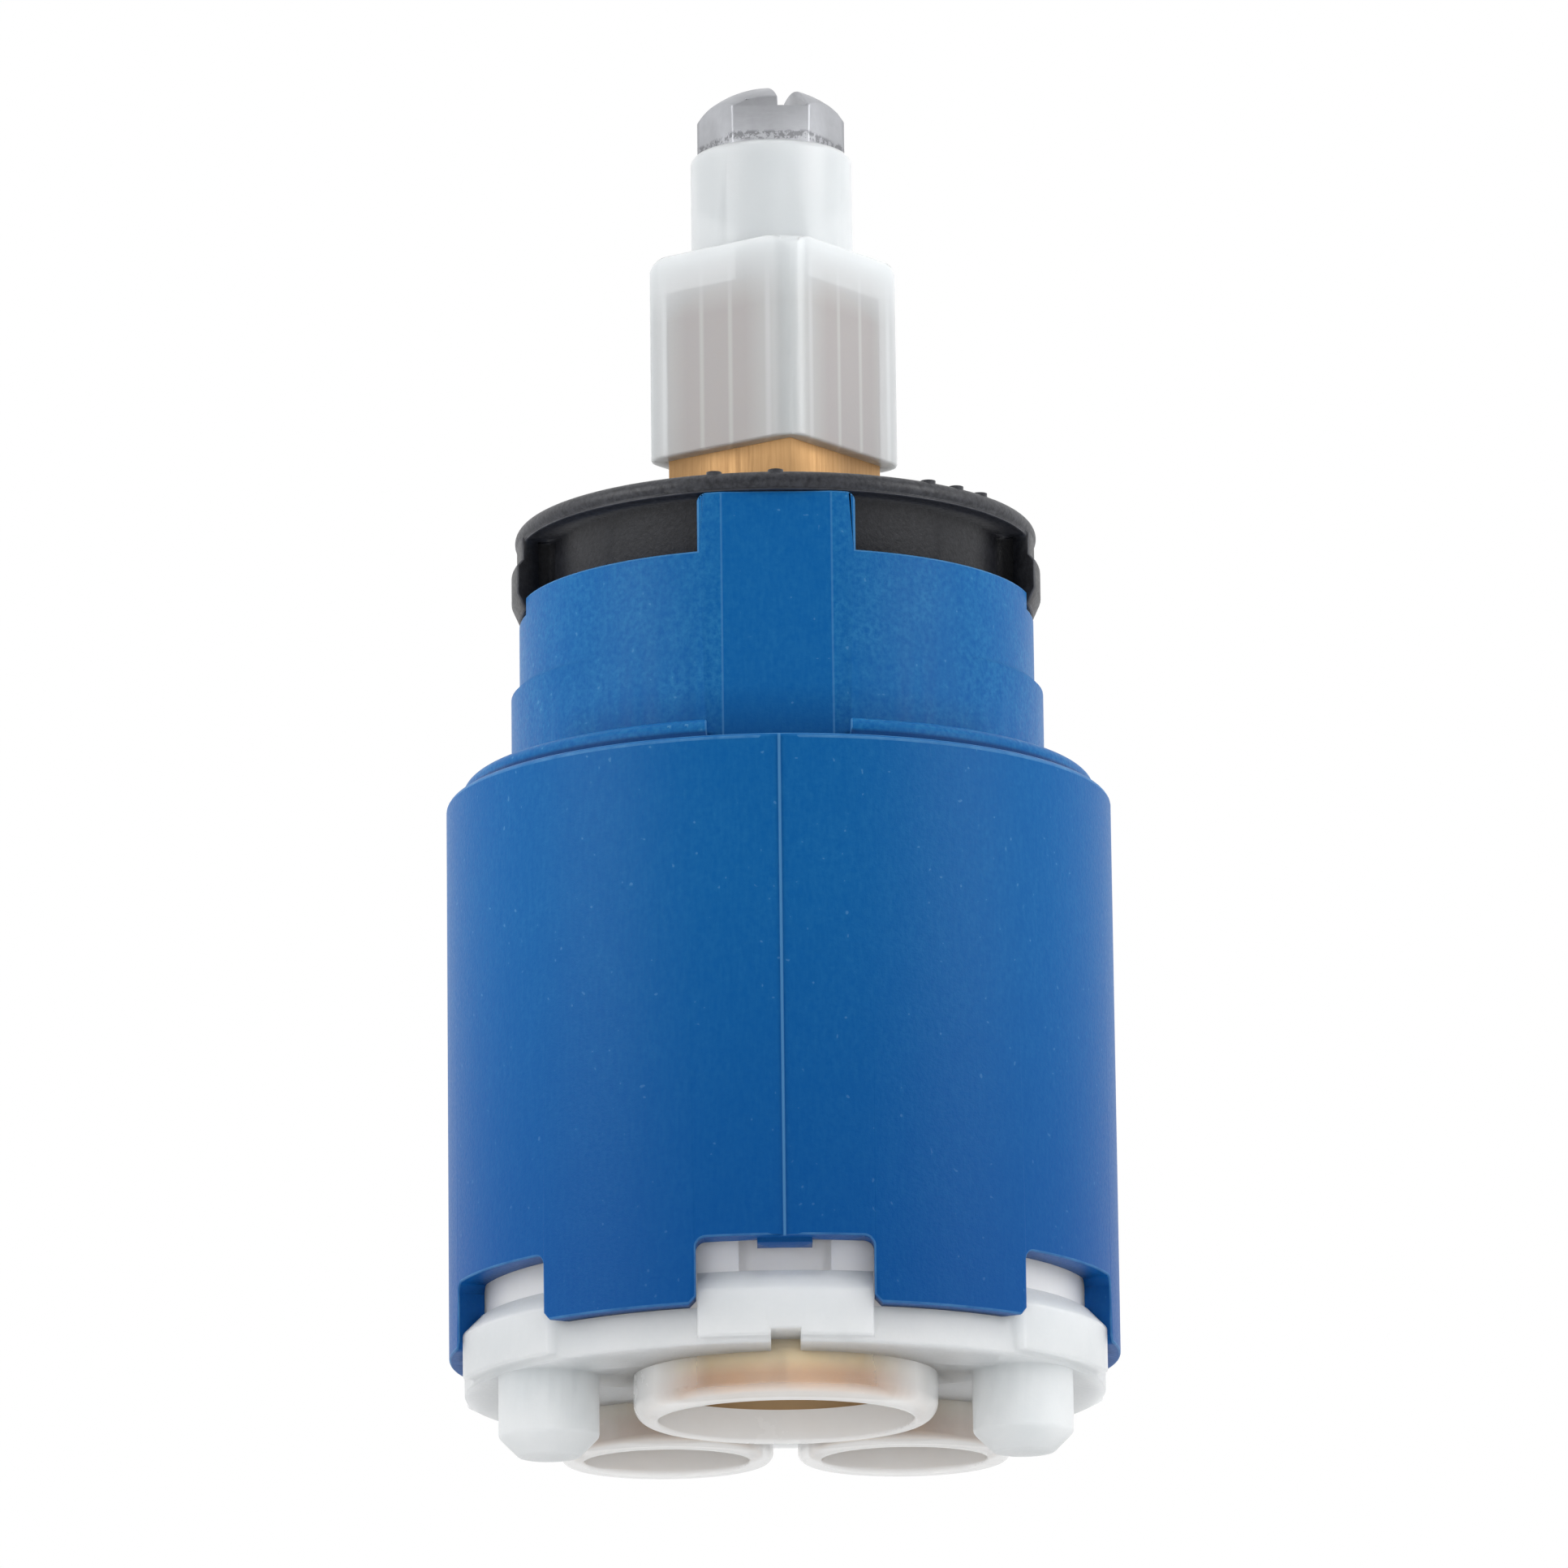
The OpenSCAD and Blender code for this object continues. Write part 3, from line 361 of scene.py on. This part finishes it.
class Finish:
    """A material with a Principled shader and the shortcuts that the finishes use."""

    def __init__(self, name, roughness=0.5, metallic=0.0, ior=1.5):
        self.material = bpy.data.materials.new(name + "_finish")
        self.material.use_nodes = True
        self.tree = self.material.node_tree
        self.tree.nodes.clear()
        out = self.tree.nodes.new("ShaderNodeOutputMaterial")
        self.shader = self.tree.nodes.new("ShaderNodeBsdfPrincipled")
        join(self.tree, self.shader.outputs["BSDF"], out.inputs["Surface"])
        self.place = self.tree.nodes.new("ShaderNodeTexCoord").outputs["Object"]
        self.set("Roughness", roughness)
        self.set("Metallic", metallic)
        self.set("IOR", ior)

    def set(self, socket, value):
        """Sets a constant on the shader."""
        self.shader.inputs[socket].default_value = value

    def feed(self, socket, value):
        """Links a socket to the shader."""
        join(self.tree, value, self.shader.inputs[socket])

    def group(self, name, build, **values):
        """Node of a shared group on the object's coordinates, with some of its values set."""
        node = self.tree.nodes.new("ShaderNodeGroup")
        node.node_tree = shared(name, build)
        join(self.tree, self.place, node.inputs["Vector"])
        for socket, value in values.items():
            node.inputs[socket.replace("_", " ")].default_value = value
        return node

    def bump(self, height, strength, distance):
        """Fine relief from a mask."""
        node = self.tree.nodes.new("ShaderNodeBump")
        node.inputs["Strength"].default_value = strength
        node.inputs["Distance"].default_value = distance
        join(self.tree, height, node.inputs["Height"])
        self.feed("Normal", node.outputs["Normal"])

    def attribute(self, name):
        """Mask that the mesh carries on its faces."""
        node = self.tree.nodes.new("ShaderNodeAttribute")
        node.attribute_name = name
        return node.outputs["Fac"]

    def inverse(self, mask):
        """One less a mask."""
        return arithmetic(self.tree, "SUBTRACT", 1.0, mask)

    def larger(self, first, second):
        """The larger of two masks."""
        return arithmetic(self.tree, "MAXIMUM", first, second)

    def span(self, value, low, high, to_low=0.0, to_high=1.0):
        """Mask that changes over a span of a coordinate or another mask."""
        return spread(self.tree, value, low, high, to_low, to_high)

    def mixed(self, factor, first, second):
        """Mix of two colours."""
        return blend_colours(self.tree, factor, first, second)

    def axes(self):
        """The three coordinates of a point, in metres."""
        node = self.tree.nodes.new("ShaderNodeSeparateXYZ")
        join(self.tree, self.place, node.inputs["Vector"])
        return node.outputs["X"], node.outputs["Y"], node.outputs["Z"]

    def radius(self):
        """Distance of a point from the barrel's axis, in metres."""
        node = self.tree.nodes.new("ShaderNodeVectorMath")
        node.operation = "LENGTH"
        join(self.tree, stretched(self.tree, self.place, (1.0, 1.0, 0.0)), node.inputs[0])
        return node.outputs["Value"]

    def both(self, first, second):
        """Product of two masks or numbers."""
        return arithmetic(self.tree, "MULTIPLY", first, second)

    def line(self, value, middle, half, soft):
        """Mask of a narrow span of a coordinate, with soft sides."""
        away = arithmetic(self.tree, "ABSOLUTE", arithmetic(self.tree, "SUBTRACT", value, middle), 0.0)
        return spread(self.tree, away, half, half + soft, 1.0, 0.0)


def blue_plastic(colours):
    """Satin blue moulding, frosted on the neck, with a pale seam, painted highlights on its edges and key
    lines, and painted shade towards the skirt and in the corners of the shoulder.
    """
    f = Finish("blue_plastic")
    skin = f.group("moulded_skin", moulded_skin_group).outputs
    x, y, z = f.axes()
    side = arithmetic(f.tree, "ABSOLUTE", x, 0.0)
    neck = f.span(z, *NECK_START)
    front = f.span(y, *KEY_FRONT)
    flat = f.both(f.both(neck, front), f.span(side, *KEY_FLAT, 1.0, 0.0))
    frosted = f.span(f.both(neck, f.inverse(flat)), 0.0, 1.0, 0.30, 1.0)
    mottle = f.both(skin["Frost"], f.span(skin["Cloud"], 0.0, 1.0, 0.35, 1.0))
    flow = noise(f.tree, stretched(f.tree, f.place, (5200.0, 5200.0, 1100.0)), 1.0, 3.0, 0.6)
    mottle = arithmetic(f.tree, "ADD", f.both(mottle, frosted), f.span(flow, 0.40, 0.75, 0.0, 0.22))
    body = f.mixed(mottle, colours.barrel, colours.barrel_bloom)
    body = f.mixed(f.both(skin["Specks"], 0.35), body, colours.barrel_specks_and_highlight)
    # Painted shade: the blue darkens towards the skirt
    body = f.mixed(f.span(z, *SKIRT_SHADE, 0.45, 0.0), body, colours.barrel_painted_low_shade)
    # Painted shade: darker at the foot of the neck's flat and in a line under the step at the shoulder
    foot = f.both(f.span(z, *NECK_FOOT, 0.50, 0.0), f.span(f.radius(), *NECK_WALL, 1.0, 0.0))
    painted_step_shade = f.both(f.line(z, *STEP_LINE), f.span(f.radius(), *STEP_WALL, 1.0, 0.0))
    body = f.mixed(f.larger(f.both(foot, neck), f.both(painted_step_shade, 0.75)), body, colours.barrel_painted_corner_shade)
    seam = f.both(f.line(x, *SEAM_LINE), f.span(y, *BARREL_FRONT))
    # Painted highlight: pale lines along the edges of the key flat
    painted_key_highlight = f.both(f.line(side, *KEY_LINE), f.both(neck, front))
    # Painted highlight: paler rounded edges
    edge = f.group("painted_edge_highlight", painted_edge_highlight_group, Amount=0.55).outputs["Mask"]
    # Pale seam, with the painted highlights on the key lines and the edges
    pale = f.larger(f.larger(f.both(seam, 0.60), f.both(painted_key_highlight, 0.30)), edge)
    f.feed("Base Color", f.mixed(pale, body, colours.barrel_specks_and_highlight))
    f.feed("Roughness", f.span(skin["Grain"], 0.0, 1.0, 0.34, 0.46))
    f.bump(skin["Grain"], 0.20, 0.00004)
    f.set("Specular IOR Level", 0.08)
    return f.material


def black_plastic(colours):
    """Satin black moulding, greyer in random frosting and on a mottled rim, with painted highlights on its
    edges.
    """
    f = Finish("black_plastic")
    skin = f.group("moulded_skin", moulded_skin_group).outputs
    body = f.mixed(f.both(skin["Frost"], 0.14), colours.cap, colours.cap_grey_and_highlight)
    rim = f.both(f.span(f.axes()[2], *CAP_RIM), f.span(skin["Frost"], 0.0, 1.0, 0.10, 0.38))
    # Painted highlight: greyer rounded edges
    edge = f.group("painted_edge_highlight", painted_edge_highlight_group, Amount=0.7).outputs["Mask"]
    f.feed("Base Color", f.mixed(f.larger(rim, edge), body, colours.cap_grey_and_highlight))
    f.feed("Roughness", f.span(skin["Grain"], 0.0, 1.0, 0.36, 0.52))
    f.bump(skin["Grain"], 0.25, 0.00004)
    f.set("Specular IOR Level", 0.40)
    return f.material


def natural_plastic(colours):
    """Milky white moulding that light sinks into; the thin wall behind the notches is painted paler, painted
    light for the light that shines through it.
    """
    f = Finish("natural_plastic", ior=1.48)
    skin = f.group("moulded_skin", moulded_skin_group, Cloud_Scale=260.0).outputs
    # Painted light: paler where the wall behind the notches is thin
    thin = f.both(f.span(f.radius(), *BASE_WALL, 1.0, 0.0), f.span(f.axes()[2], *BASE_LEDGE))
    body = f.mixed(skin["Cloud"], colours.natural, colours.natural_deep)
    f.feed("Base Color", f.mixed(thin, body, colours.natural_painted_light))
    f.feed("Roughness", f.span(skin["Grain"], 0.0, 1.0, 0.30, 0.44))
    f.bump(skin["Grain"], 0.10, 0.00003)
    f.set("Subsurface Weight", 1.0)
    f.set("Subsurface Radius", (1.0, 1.0, 0.97))
    f.set("Subsurface Scale", 0.0090)
    return f.material


def see_through(f, amount):
    """Lets the front of a milky wall show what stands behind it; its back and its shadow are clearer."""
    backs = f.tree.nodes.new("ShaderNodeNewGeometry").outputs["Backfacing"]
    shadow = f.tree.nodes.new("ShaderNodeLightPath").outputs["Is Shadow Ray"]
    seen = f.both(f.inverse(backs), f.span(shadow, 0.0, 1.0, 1.0, 0.2))
    f.feed("Alpha", f.both(amount, seen))


def silicone(colours):
    """Clear milky rubber, through which the rings show; a long way through it is milkier."""
    f = Finish("silicone", ior=1.41)
    skin = f.group("moulded_skin", moulded_skin_group, Cloud_Scale=350.0).outputs
    f.feed("Base Color", f.mixed(skin["Cloud"], colours.silicone, colours.silicone_deep))
    f.feed("Roughness", f.span(skin["Cloud"], 0.0, 1.0, 0.18, 0.28))
    f.bump(skin["Grain"], 0.05, 0.00003)
    foot = f.span(f.axes()[2], *SEAL_FOOT, 0.66, 0.14)
    slant = f.tree.nodes.new("ShaderNodeLayerWeight").outputs["Facing"]
    long_way = f.span(slant, 0.08, 0.50, 0.0, 0.82)
    milky = f.larger(f.larger(foot, long_way), f.both(f.attribute("lip_band"), 0.84))
    # Painted light: the rear ports are made milkier, which lightens the rear seals that the front seal
    # shades
    milky = f.larger(milky, f.span(f.axes()[1], *REAR_PORTS, 0.0, 0.42))
    see_through(f, arithmetic(f.tree, "ADD", milky, f.both(skin["Cloud"], 0.08)))
    return f.material


def sleeve_plastic(colours):
    """Milky clear moulding over the square, greyer where the brass is close behind its faces."""
    f = Finish("sleeve_plastic", ior=1.46)
    skin = f.group("moulded_skin", moulded_skin_group).outputs
    turned = f.tree.nodes.new("ShaderNodeVectorRotate")
    turned.rotation_type = "Z_AXIS"
    turned.inputs["Angle"].default_value = -REST_TURN
    join(f.tree, f.place, turned.inputs["Vector"])
    across = f.tree.nodes.new("ShaderNodeSeparateXYZ")
    join(f.tree, turned.outputs["Vector"], across.inputs["Vector"])
    sides = [arithmetic(f.tree, "ABSOLUTE", across.outputs[axis], 0.0) for axis in ("X", "Y")]
    from_corner = arithmetic(f.tree, "MINIMUM", *sides)
    low = f.span(f.axes()[2], *SLEEVE_SQUARE, 1.0, 0.0)
    backed = f.both(f.span(from_corner, *SLEEVE_FACE), low)
    body = f.mixed(f.both(low, 0.8), colours.sleeve, colours.sleeve_edge)
    body = f.mixed(f.both(backed, 0.8), body, colours.sleeve_backed)
    flow = f.larger(*(f.line(from_corner, *place) for place in FLOW_LINES))
    f.feed("Base Color", f.mixed(f.both(f.both(flow, low), 0.40), body, colours.sleeve))
    f.feed("Roughness", f.span(skin["Grain"], 0.0, 1.0, 0.28, 0.38))
    f.bump(skin["Grain"], 0.08, 0.00003)
    f.set("Subsurface Weight", 0.9)
    f.set("Subsurface Radius", (1.0, 1.0, 0.98))
    f.set("Subsurface Scale", 0.0016)
    see_through(f, f.span(backed, 0.0, 1.0, 0.94, 0.84))
    return f.material


def drawn_metal(f, scale):
    """Streaks along the axis with the smallest scale, and dull patches."""
    node = f.group("drawn_metal", drawn_metal_group)
    join(f.tree, stretched(f.tree, f.place, scale), node.inputs["Streak Vector"])
    return node.outputs["Streak"], node.outputs["Patch"]


def brass(colours):
    """Drawn brass with streaks along the spindle; the rings are smoother, with a painted highlight on their
    top lip and painted shade on their inner faces.
    """
    f = Finish("brass", metallic=1.0)
    streak, patch = drawn_metal(f, (5200.0, 5200.0, 260.0))
    z = f.axes()[2]
    ring = f.span(z, *RINGS_TOP, 1.0, 0.0)
    # Painted highlight: the rings' top lip is painted paler
    lip = f.both(f.span(z, *RING_LIP), ring)
    body = f.mixed(f.both(streak, patch), colours.brass, colours.brass_dull_and_shade)
    body = f.mixed(ring, body, colours.brass_ring)
    body = f.mixed(f.both(lip, 0.8), body, colours.brass_painted_highlight)
    # Painted shade: the rings' inner faces are darker
    f.feed("Base Color", f.mixed(f.both(f.attribute("lip_band"), 0.8), body, colours.brass_dull_and_shade))
    drawn = f.both(streak, f.inverse(ring))
    f.feed("Roughness", f.span(drawn, 0.0, 1.0, 0.50, 0.66))
    f.bump(drawn, 0.25, 0.00003)
    return f.material


def screw_steel(colours):
    """Dull plated steel, with dark specks above the sleeve."""
    f = Finish("screw_steel", metallic=1.0)
    streak, patch = drawn_metal(f, (900.0, 900.0, 5200.0))
    specks = f.span(noise(f.tree, f.place, 3400.0, 3.0, 0.7), 0.46, 0.54)
    # Dark specks in a band round the screw, above the sleeve
    marks = f.both(specks, f.line(f.axes()[2], *SCREW_LINE))
    body = f.mixed(patch, colours.steel, colours.steel_dull)
    f.feed("Base Color", f.mixed(f.both(marks, 0.5), body, colours.steel_speck_band))
    f.feed("Roughness", f.span(patch, 0.0, 1.0, 0.42, 0.58))
    f.bump(streak, 0.12, 0.00003)
    return f.material


def pin_steel(colours):
    """Ground steel of the pivot pin and the carrier's bush."""
    f = Finish("pin_steel", metallic=1.0)
    streak = drawn_metal(f, (400.0, 6000.0, 6000.0))[0]
    f.feed("Base Color", f.mixed(streak, colours.pin, colours.pin_dull))
    f.feed("Roughness", f.span(streak, 0.0, 1.0, 0.20, 0.34))
    return f.material


def plain_moulding(name, pale, deep, rough):
    """Moulded plastic, rubber or ceramic of the pieces inside."""
    f = Finish(name)
    skin = f.group("moulded_skin", moulded_skin_group, Cloud_Scale=500.0).outputs
    f.feed("Base Color", f.mixed(skin["Cloud"], pale, deep))
    f.feed("Roughness", f.span(skin["Grain"], 0.0, 1.0, rough - 0.06, rough + 0.06))
    f.bump(skin["Grain"], 0.10, 0.00003)
    return f.material


COLOURED_FINISHES = {build.__name__: build for build in (
    blue_plastic, black_plastic, natural_plastic, silicone, sleeve_plastic, brass, screw_steel, pin_steel)}


def finish(name):
    """A named finish, built once."""
    made = bpy.data.materials.get(name + "_finish")
    if made is None and name in COLOURED_FINISHES:
        made = COLOURED_FINISHES[name](bpy.context.scene.cartridge_colours)
    elif made is None:
        made = plain_moulding(name, *PLAIN_FINISHES[name])
    return made


# Pieces

def radius(vert):
    """Distance of a vertex from the barrel's axis."""
    return math.hypot(vert.co.x, vert.co.y)


def softened(node, name, slot, width=0.0, keep=None, swell=0.0, lip=None):
    """Copy of a node's solid that stands for it, with the outer edges that keep() picks rounded.

    A swell moves its faces outwards, and lip() picks the faces that the finish treats as inside.
    """
    source = NODES[node]
    bm = bmesh.new()
    bm.from_mesh(source.data)
    bmesh.ops.remove_doubles(bm, verts=bm.verts, dist=MERGE)
    bmesh.ops.dissolve_limit(bm, angle_limit=COPLANAR, use_dissolve_boundaries=False,
                             verts=bm.verts, edges=bm.edges)
    bm.normal_update()
    band = bm.faces.layers.float.new("edge_band")
    if width > 0.0:
        edges = [e for e in bm.edges if e.is_manifold and e.is_convex and e.calc_face_angle(0.0) > SHARP
                 and all(keep(v) for v in e.verts)]
        made = bmesh.ops.bevel(bm, geom=edges, offset=width, offset_type="OFFSET",
                               segments=BEVEL_STEPS, profile=0.5, affect="EDGES", clamp_overlap=False,
                               loop_slide=True, material=-1)
        for face in made["faces"]:
            face[band] = 1.0
    if lip is not None:
        inner = bm.faces.layers.float.new("lip_band")
        for face in bm.faces:
            face[inner] = 1.0 if lip(face) else 0.0
    for vert in bm.verts:
        vert.co += vert.normal * swell
    bmesh.ops.triangulate(bm, faces=[f for f in bm.faces if len(f.verts) > 4])
    for face in bm.faces:
        face.smooth = True
    mesh = bpy.data.meshes.new(name)
    bm.to_mesh(mesh)
    bm.free()
    mesh.set_sharp_from_angle(angle=SMOOTH)
    piece = bpy.data.objects.new(name, mesh)
    bpy.context.scene.collection.objects.link(piece)
    weigh = piece.modifiers.new("Even shading", "WEIGHTED_NORMAL")
    weigh.keep_sharp = True
    dress(piece, slot)
    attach(piece, source["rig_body"])
    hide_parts(node)
    return piece


def dress(piece, slot):
    """Gives a piece the finish of its slot."""
    piece.data.materials.clear()
    piece.data.materials.append(finish(slot))


class CARTRIDGE_OT_housing(bpy.types.Operator):
    """Make the blue housing with its neck, keys and skirt"""
    bl_idname = "cartridge.housing"
    bl_label = "Housing"

    def execute(self, context):
        sizes = context.scene.cartridge_sizes

        def keep(v):
            seam = abs(v.co.x) < SEAM_HALF and v.co.y < SEAM_FRONT
            rib = RIB_LOW < v.co.z < RIB_HIGH
            outside = BARREL_OUTSIDE if v.co.z < SHOULDER else NECK_OUTSIDE
            return radius(v) > outside and not seam and not rib

        softened("housing", "barrel_shell", "blue_plastic", sizes.barrel_edge, keep)
        return {"FINISHED"}


class CARTRIDGE_OT_cap_ring(bpy.types.Operator):
    """Make the black ring that closes the neck"""
    bl_idname = "cartridge.cap_ring"
    bl_label = "Cap ring"

    def execute(self, context):
        sizes = context.scene.cartridge_sizes
        piece = softened("cap_ring", "cap_collar", "black_plastic", sizes.cap_edge,
                         lambda v: radius(v) > CAP_OUTSIDE and v.co.z < CAP_TOP)
        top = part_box("cap_ring")[1][2] - sizes.mark_height
        places = [vert.co for vert in piece.data.vertices]
        for face in piece.data.polygons:
            face.use_smooth = any(abs(places[i].z - top) > MERGE for i in face.vertices)
        for place in places:
            if place.z > top + MERGE:
                place.z = top + (place.z - top) * sizes.mark_worn
        return {"FINISHED"}


class CARTRIDGE_OT_base(bpy.types.Operator):
    """Make the white base with its lugs and locating pins"""
    bl_idname = "cartridge.base"
    bl_label = "Base"

    def execute(self, context):
        sizes = context.scene.cartridge_sizes
        softened("base", "base_plate", "natural_plastic", sizes.base_edge,
                 lambda v: radius(v) > BASE_OUTSIDE or v.co.z < BASE_UNDER)
        return {"FINISHED"}


class CARTRIDGE_OT_port_seals(bpy.types.Operator):
    """Make the three port seals and the brass rings inside them"""
    bl_idname = "cartridge.port_seals"
    bl_label = "Port seals"

    def execute(self, context):
        sizes = context.scene.cartridge_sizes
        for port in ("outlet_{}", "inlet_{}_left", "inlet_{}_right"):
            low, high = (Vector(corner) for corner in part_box(port.format("seal")))
            middle = (low + high) / 2.0

            def inner_lip(face):
                outwards = face.calc_center_median() - middle
                return face.normal.x * outwards.x + face.normal.y * outwards.y < INWARDS

            softened(port.format("seal"), port.format("gasket"), "silicone", lip=inner_lip)
            softened(port.format("support_ring"), port.format("hoop"), "brass", swell=-sizes.ring_play,
                     lip=inner_lip)
        return {"FINISHED"}


class CARTRIDGE_OT_spindle(bpy.types.Operator):
    """Make the brass spindle, its sleeve and its screw"""
    bl_idname = "cartridge.spindle"
    bl_label = "Spindle"

    def execute(self, context):
        sizes = context.scene.cartridge_sizes
        softened("lever_spindle", "square_spindle", "brass", sizes.metal_edge,
                 lambda v: v.co.z > SPINDLE_SHOWN)
        softened("spindle_sleeve", "square_sleeve", "sleeve_plastic", sizes.sleeve_edge,
                 lambda v: radius(v) > SLEEVE_OUTSIDE)
        softened("spindle_screw", "tip_screw", "screw_steel", sizes.metal_edge,
                 lambda v: v.co.z > SCREW_SHOWN)
        return {"FINISHED"}


class CARTRIDGE_OT_inside(bpy.types.Operator):
    """Finish the discs, the rotor, the carrier and their seals"""
    bl_idname = "cartridge.inside"
    bl_label = "Inside"

    def execute(self, context):
        for slot, names in INSIDE.items():
            for name in names:
                NODES[name].material_slots[0].material = finish(slot)
        return {"FINISHED"}


# Stage

def pale_floor(drop):
    """Round pale floor well below the object, as the view is from below."""
    bm = bmesh.new()
    bmesh.ops.create_circle(bm, cap_ends=True, radius=FLOOR_RADIUS, segments=FLOOR_SIDES,
                            matrix=Matrix.Translation((0.0, 0.0, -drop)))
    mesh = bpy.data.meshes.new("floor")
    bm.to_mesh(mesh)
    bm.free()
    floor = bpy.data.objects.new("floor", mesh)
    bpy.context.scene.collection.objects.link(floor)
    f = Finish("floor_paint", roughness=0.8)
    f.feed("Base Color", f.mixed(noise(f.tree, f.place, 9.0, 2.0), FLOOR_PALE, FLOOR_DEEP))
    mesh.materials.append(f.material)


def soft_light(name, place, target, width, height, power, pieces):
    """Area light that points at a target, for all the pieces or for those that are named."""
    light = bpy.data.lights.new(name, "AREA")
    light.shape = "RECTANGLE"
    light.size = width
    light.size_y = height
    light.energy = power
    lamp = bpy.data.objects.new(name, light)
    bpy.context.scene.collection.objects.link(lamp)
    lamp.location = place
    lamp.rotation_euler = (Vector(target) - Vector(place)).to_track_quat("-Z", "Y").to_euler()
    if pieces:
        lit = bpy.data.collections.new(name + "_pieces")
        for piece in pieces:
            lit.objects.link(bpy.data.objects[piece])
        lamp.light_linking.receiver_collection = lit


def white_surround():
    """White background, with a light tent that is dimmer at the front."""
    world = bpy.data.worlds.new("studio")
    bpy.context.scene.world = world
    world.use_nodes = True
    tree = world.node_tree
    tree.nodes.clear()
    out = tree.nodes.new("ShaderNodeOutputWorld")
    seen = tree.nodes.new("ShaderNodeBackground")
    tent = tree.nodes.new("ShaderNodeBackground")
    pick = tree.nodes.new("ShaderNodeMixShader")
    path = tree.nodes.new("ShaderNodeLightPath")
    axes = tree.nodes.new("ShaderNodeSeparateXYZ")
    join(tree, tree.nodes.new("ShaderNodeTexCoord").outputs["Generated"], axes.inputs["Vector"])
    depth = spread(tree, axes.outputs["Y"], -0.95, 0.2, 0.12, 1.05)
    lift = spread(tree, axes.outputs["Z"], -0.6, 0.7, 0.85, 1.05)
    join(tree, arithmetic(tree, "MULTIPLY", depth, lift), tent.inputs["Strength"])
    join(tree, path.outputs["Is Camera Ray"], pick.inputs["Fac"])
    join(tree, tent.outputs["Background"], pick.inputs[1])
    join(tree, seen.outputs["Background"], pick.inputs[2])
    join(tree, pick.outputs["Shader"], out.inputs["Surface"])
    seen.inputs["Color"].default_value = (1.0, 1.0, 1.0, 1.0)
    tent.inputs["Color"].default_value = (1.0, 1.0, 1.0, 1.0)


def photo_camera(stage):
    """Camera at the photograph's angle, below the object."""
    data = bpy.data.cameras.new("camera")
    data.sensor_width = SENSOR
    data.lens = stage.focal_pixels * SENSOR / PHOTO_SIDE
    data.clip_start = CLIP_START
    camera = bpy.data.objects.new("camera", data)
    bpy.context.scene.collection.objects.link(camera)
    target = Vector((stage.camera_side, 0.0, stage.camera_height))
    flat = math.cos(stage.elevation)
    away = Vector((flat * math.sin(stage.azimuth), -flat * math.cos(stage.azimuth),
                   math.sin(stage.elevation)))
    place = target + away * stage.camera_distance
    aim = (target - place).to_track_quat("-Z", "Y").to_matrix().to_4x4()
    camera.matrix_world = Matrix.Translation(place) @ aim @ Matrix.Rotation(stage.roll, 4, "Z")
    bpy.context.scene.camera = camera


class CARTRIDGE_OT_stage(bpy.types.Operator):
    """Set the floor, the light tent and the camera"""
    bl_idname = "cartridge.stage"
    bl_label = "Stage"

    def execute(self, context):
        stage = context.scene.cartridge_stage
        context.scene.view_settings.view_transform = "Standard"
        pale_floor(stage.floor_drop)
        white_surround()
        for light in LIGHTS:
            soft_light(*light)
        photo_camera(stage)
        return {"FINISHED"}


class CARTRIDGE_PT_sidebar(bpy.types.Panel):
    """Sizes, colours and steps of the cartridge"""
    bl_idname = "CARTRIDGE_PT_sidebar"
    bl_label = "Cartridge"
    bl_space_type = "VIEW_3D"
    bl_region_type = "UI"
    bl_category = "Cartridge"

    def draw(self, context):
        column = self.layout.column()
        for settings, group in SETTINGS.items():
            for name in group.__annotations__:
                column.prop(getattr(context.scene, settings), name)
        for step in STEPS:
            column.operator(step.bl_idname)


STEPS = (CARTRIDGE_OT_housing, CARTRIDGE_OT_cap_ring, CARTRIDGE_OT_base, CARTRIDGE_OT_port_seals,
         CARTRIDGE_OT_spindle, CARTRIDGE_OT_inside, CARTRIDGE_OT_stage)
SETTINGS = {"cartridge_sizes": CartridgeSizes, "cartridge_colours": CartridgeColours,
            "cartridge_stage": StageSettings}


def register():
    """Adds the settings, the steps and the panel."""
    for group in SETTINGS.values():
        bpy.utils.register_class(group)
    for name, group in SETTINGS.items():
        setattr(bpy.types.Scene, name, PointerProperty(type=group))
    for step in (*STEPS, CARTRIDGE_PT_sidebar):
        bpy.utils.register_class(step)


def unregister():
    """Takes the panel, the steps and the settings away."""
    for step in (CARTRIDGE_PT_sidebar, *reversed(STEPS)):
        bpy.utils.unregister_class(step)
    for name, group in SETTINGS.items():
        delattr(bpy.types.Scene, name)
        bpy.utils.unregister_class(group)


def main():
    """Makes the pieces and the stage."""
    register()
    bpy.ops.cartridge.housing()
    bpy.ops.cartridge.cap_ring()
    bpy.ops.cartridge.base()
    bpy.ops.cartridge.port_seals()
    bpy.ops.cartridge.spindle()
    bpy.ops.cartridge.inside()
    bpy.ops.cartridge.stage()


if __name__ == "__main__":
    main()
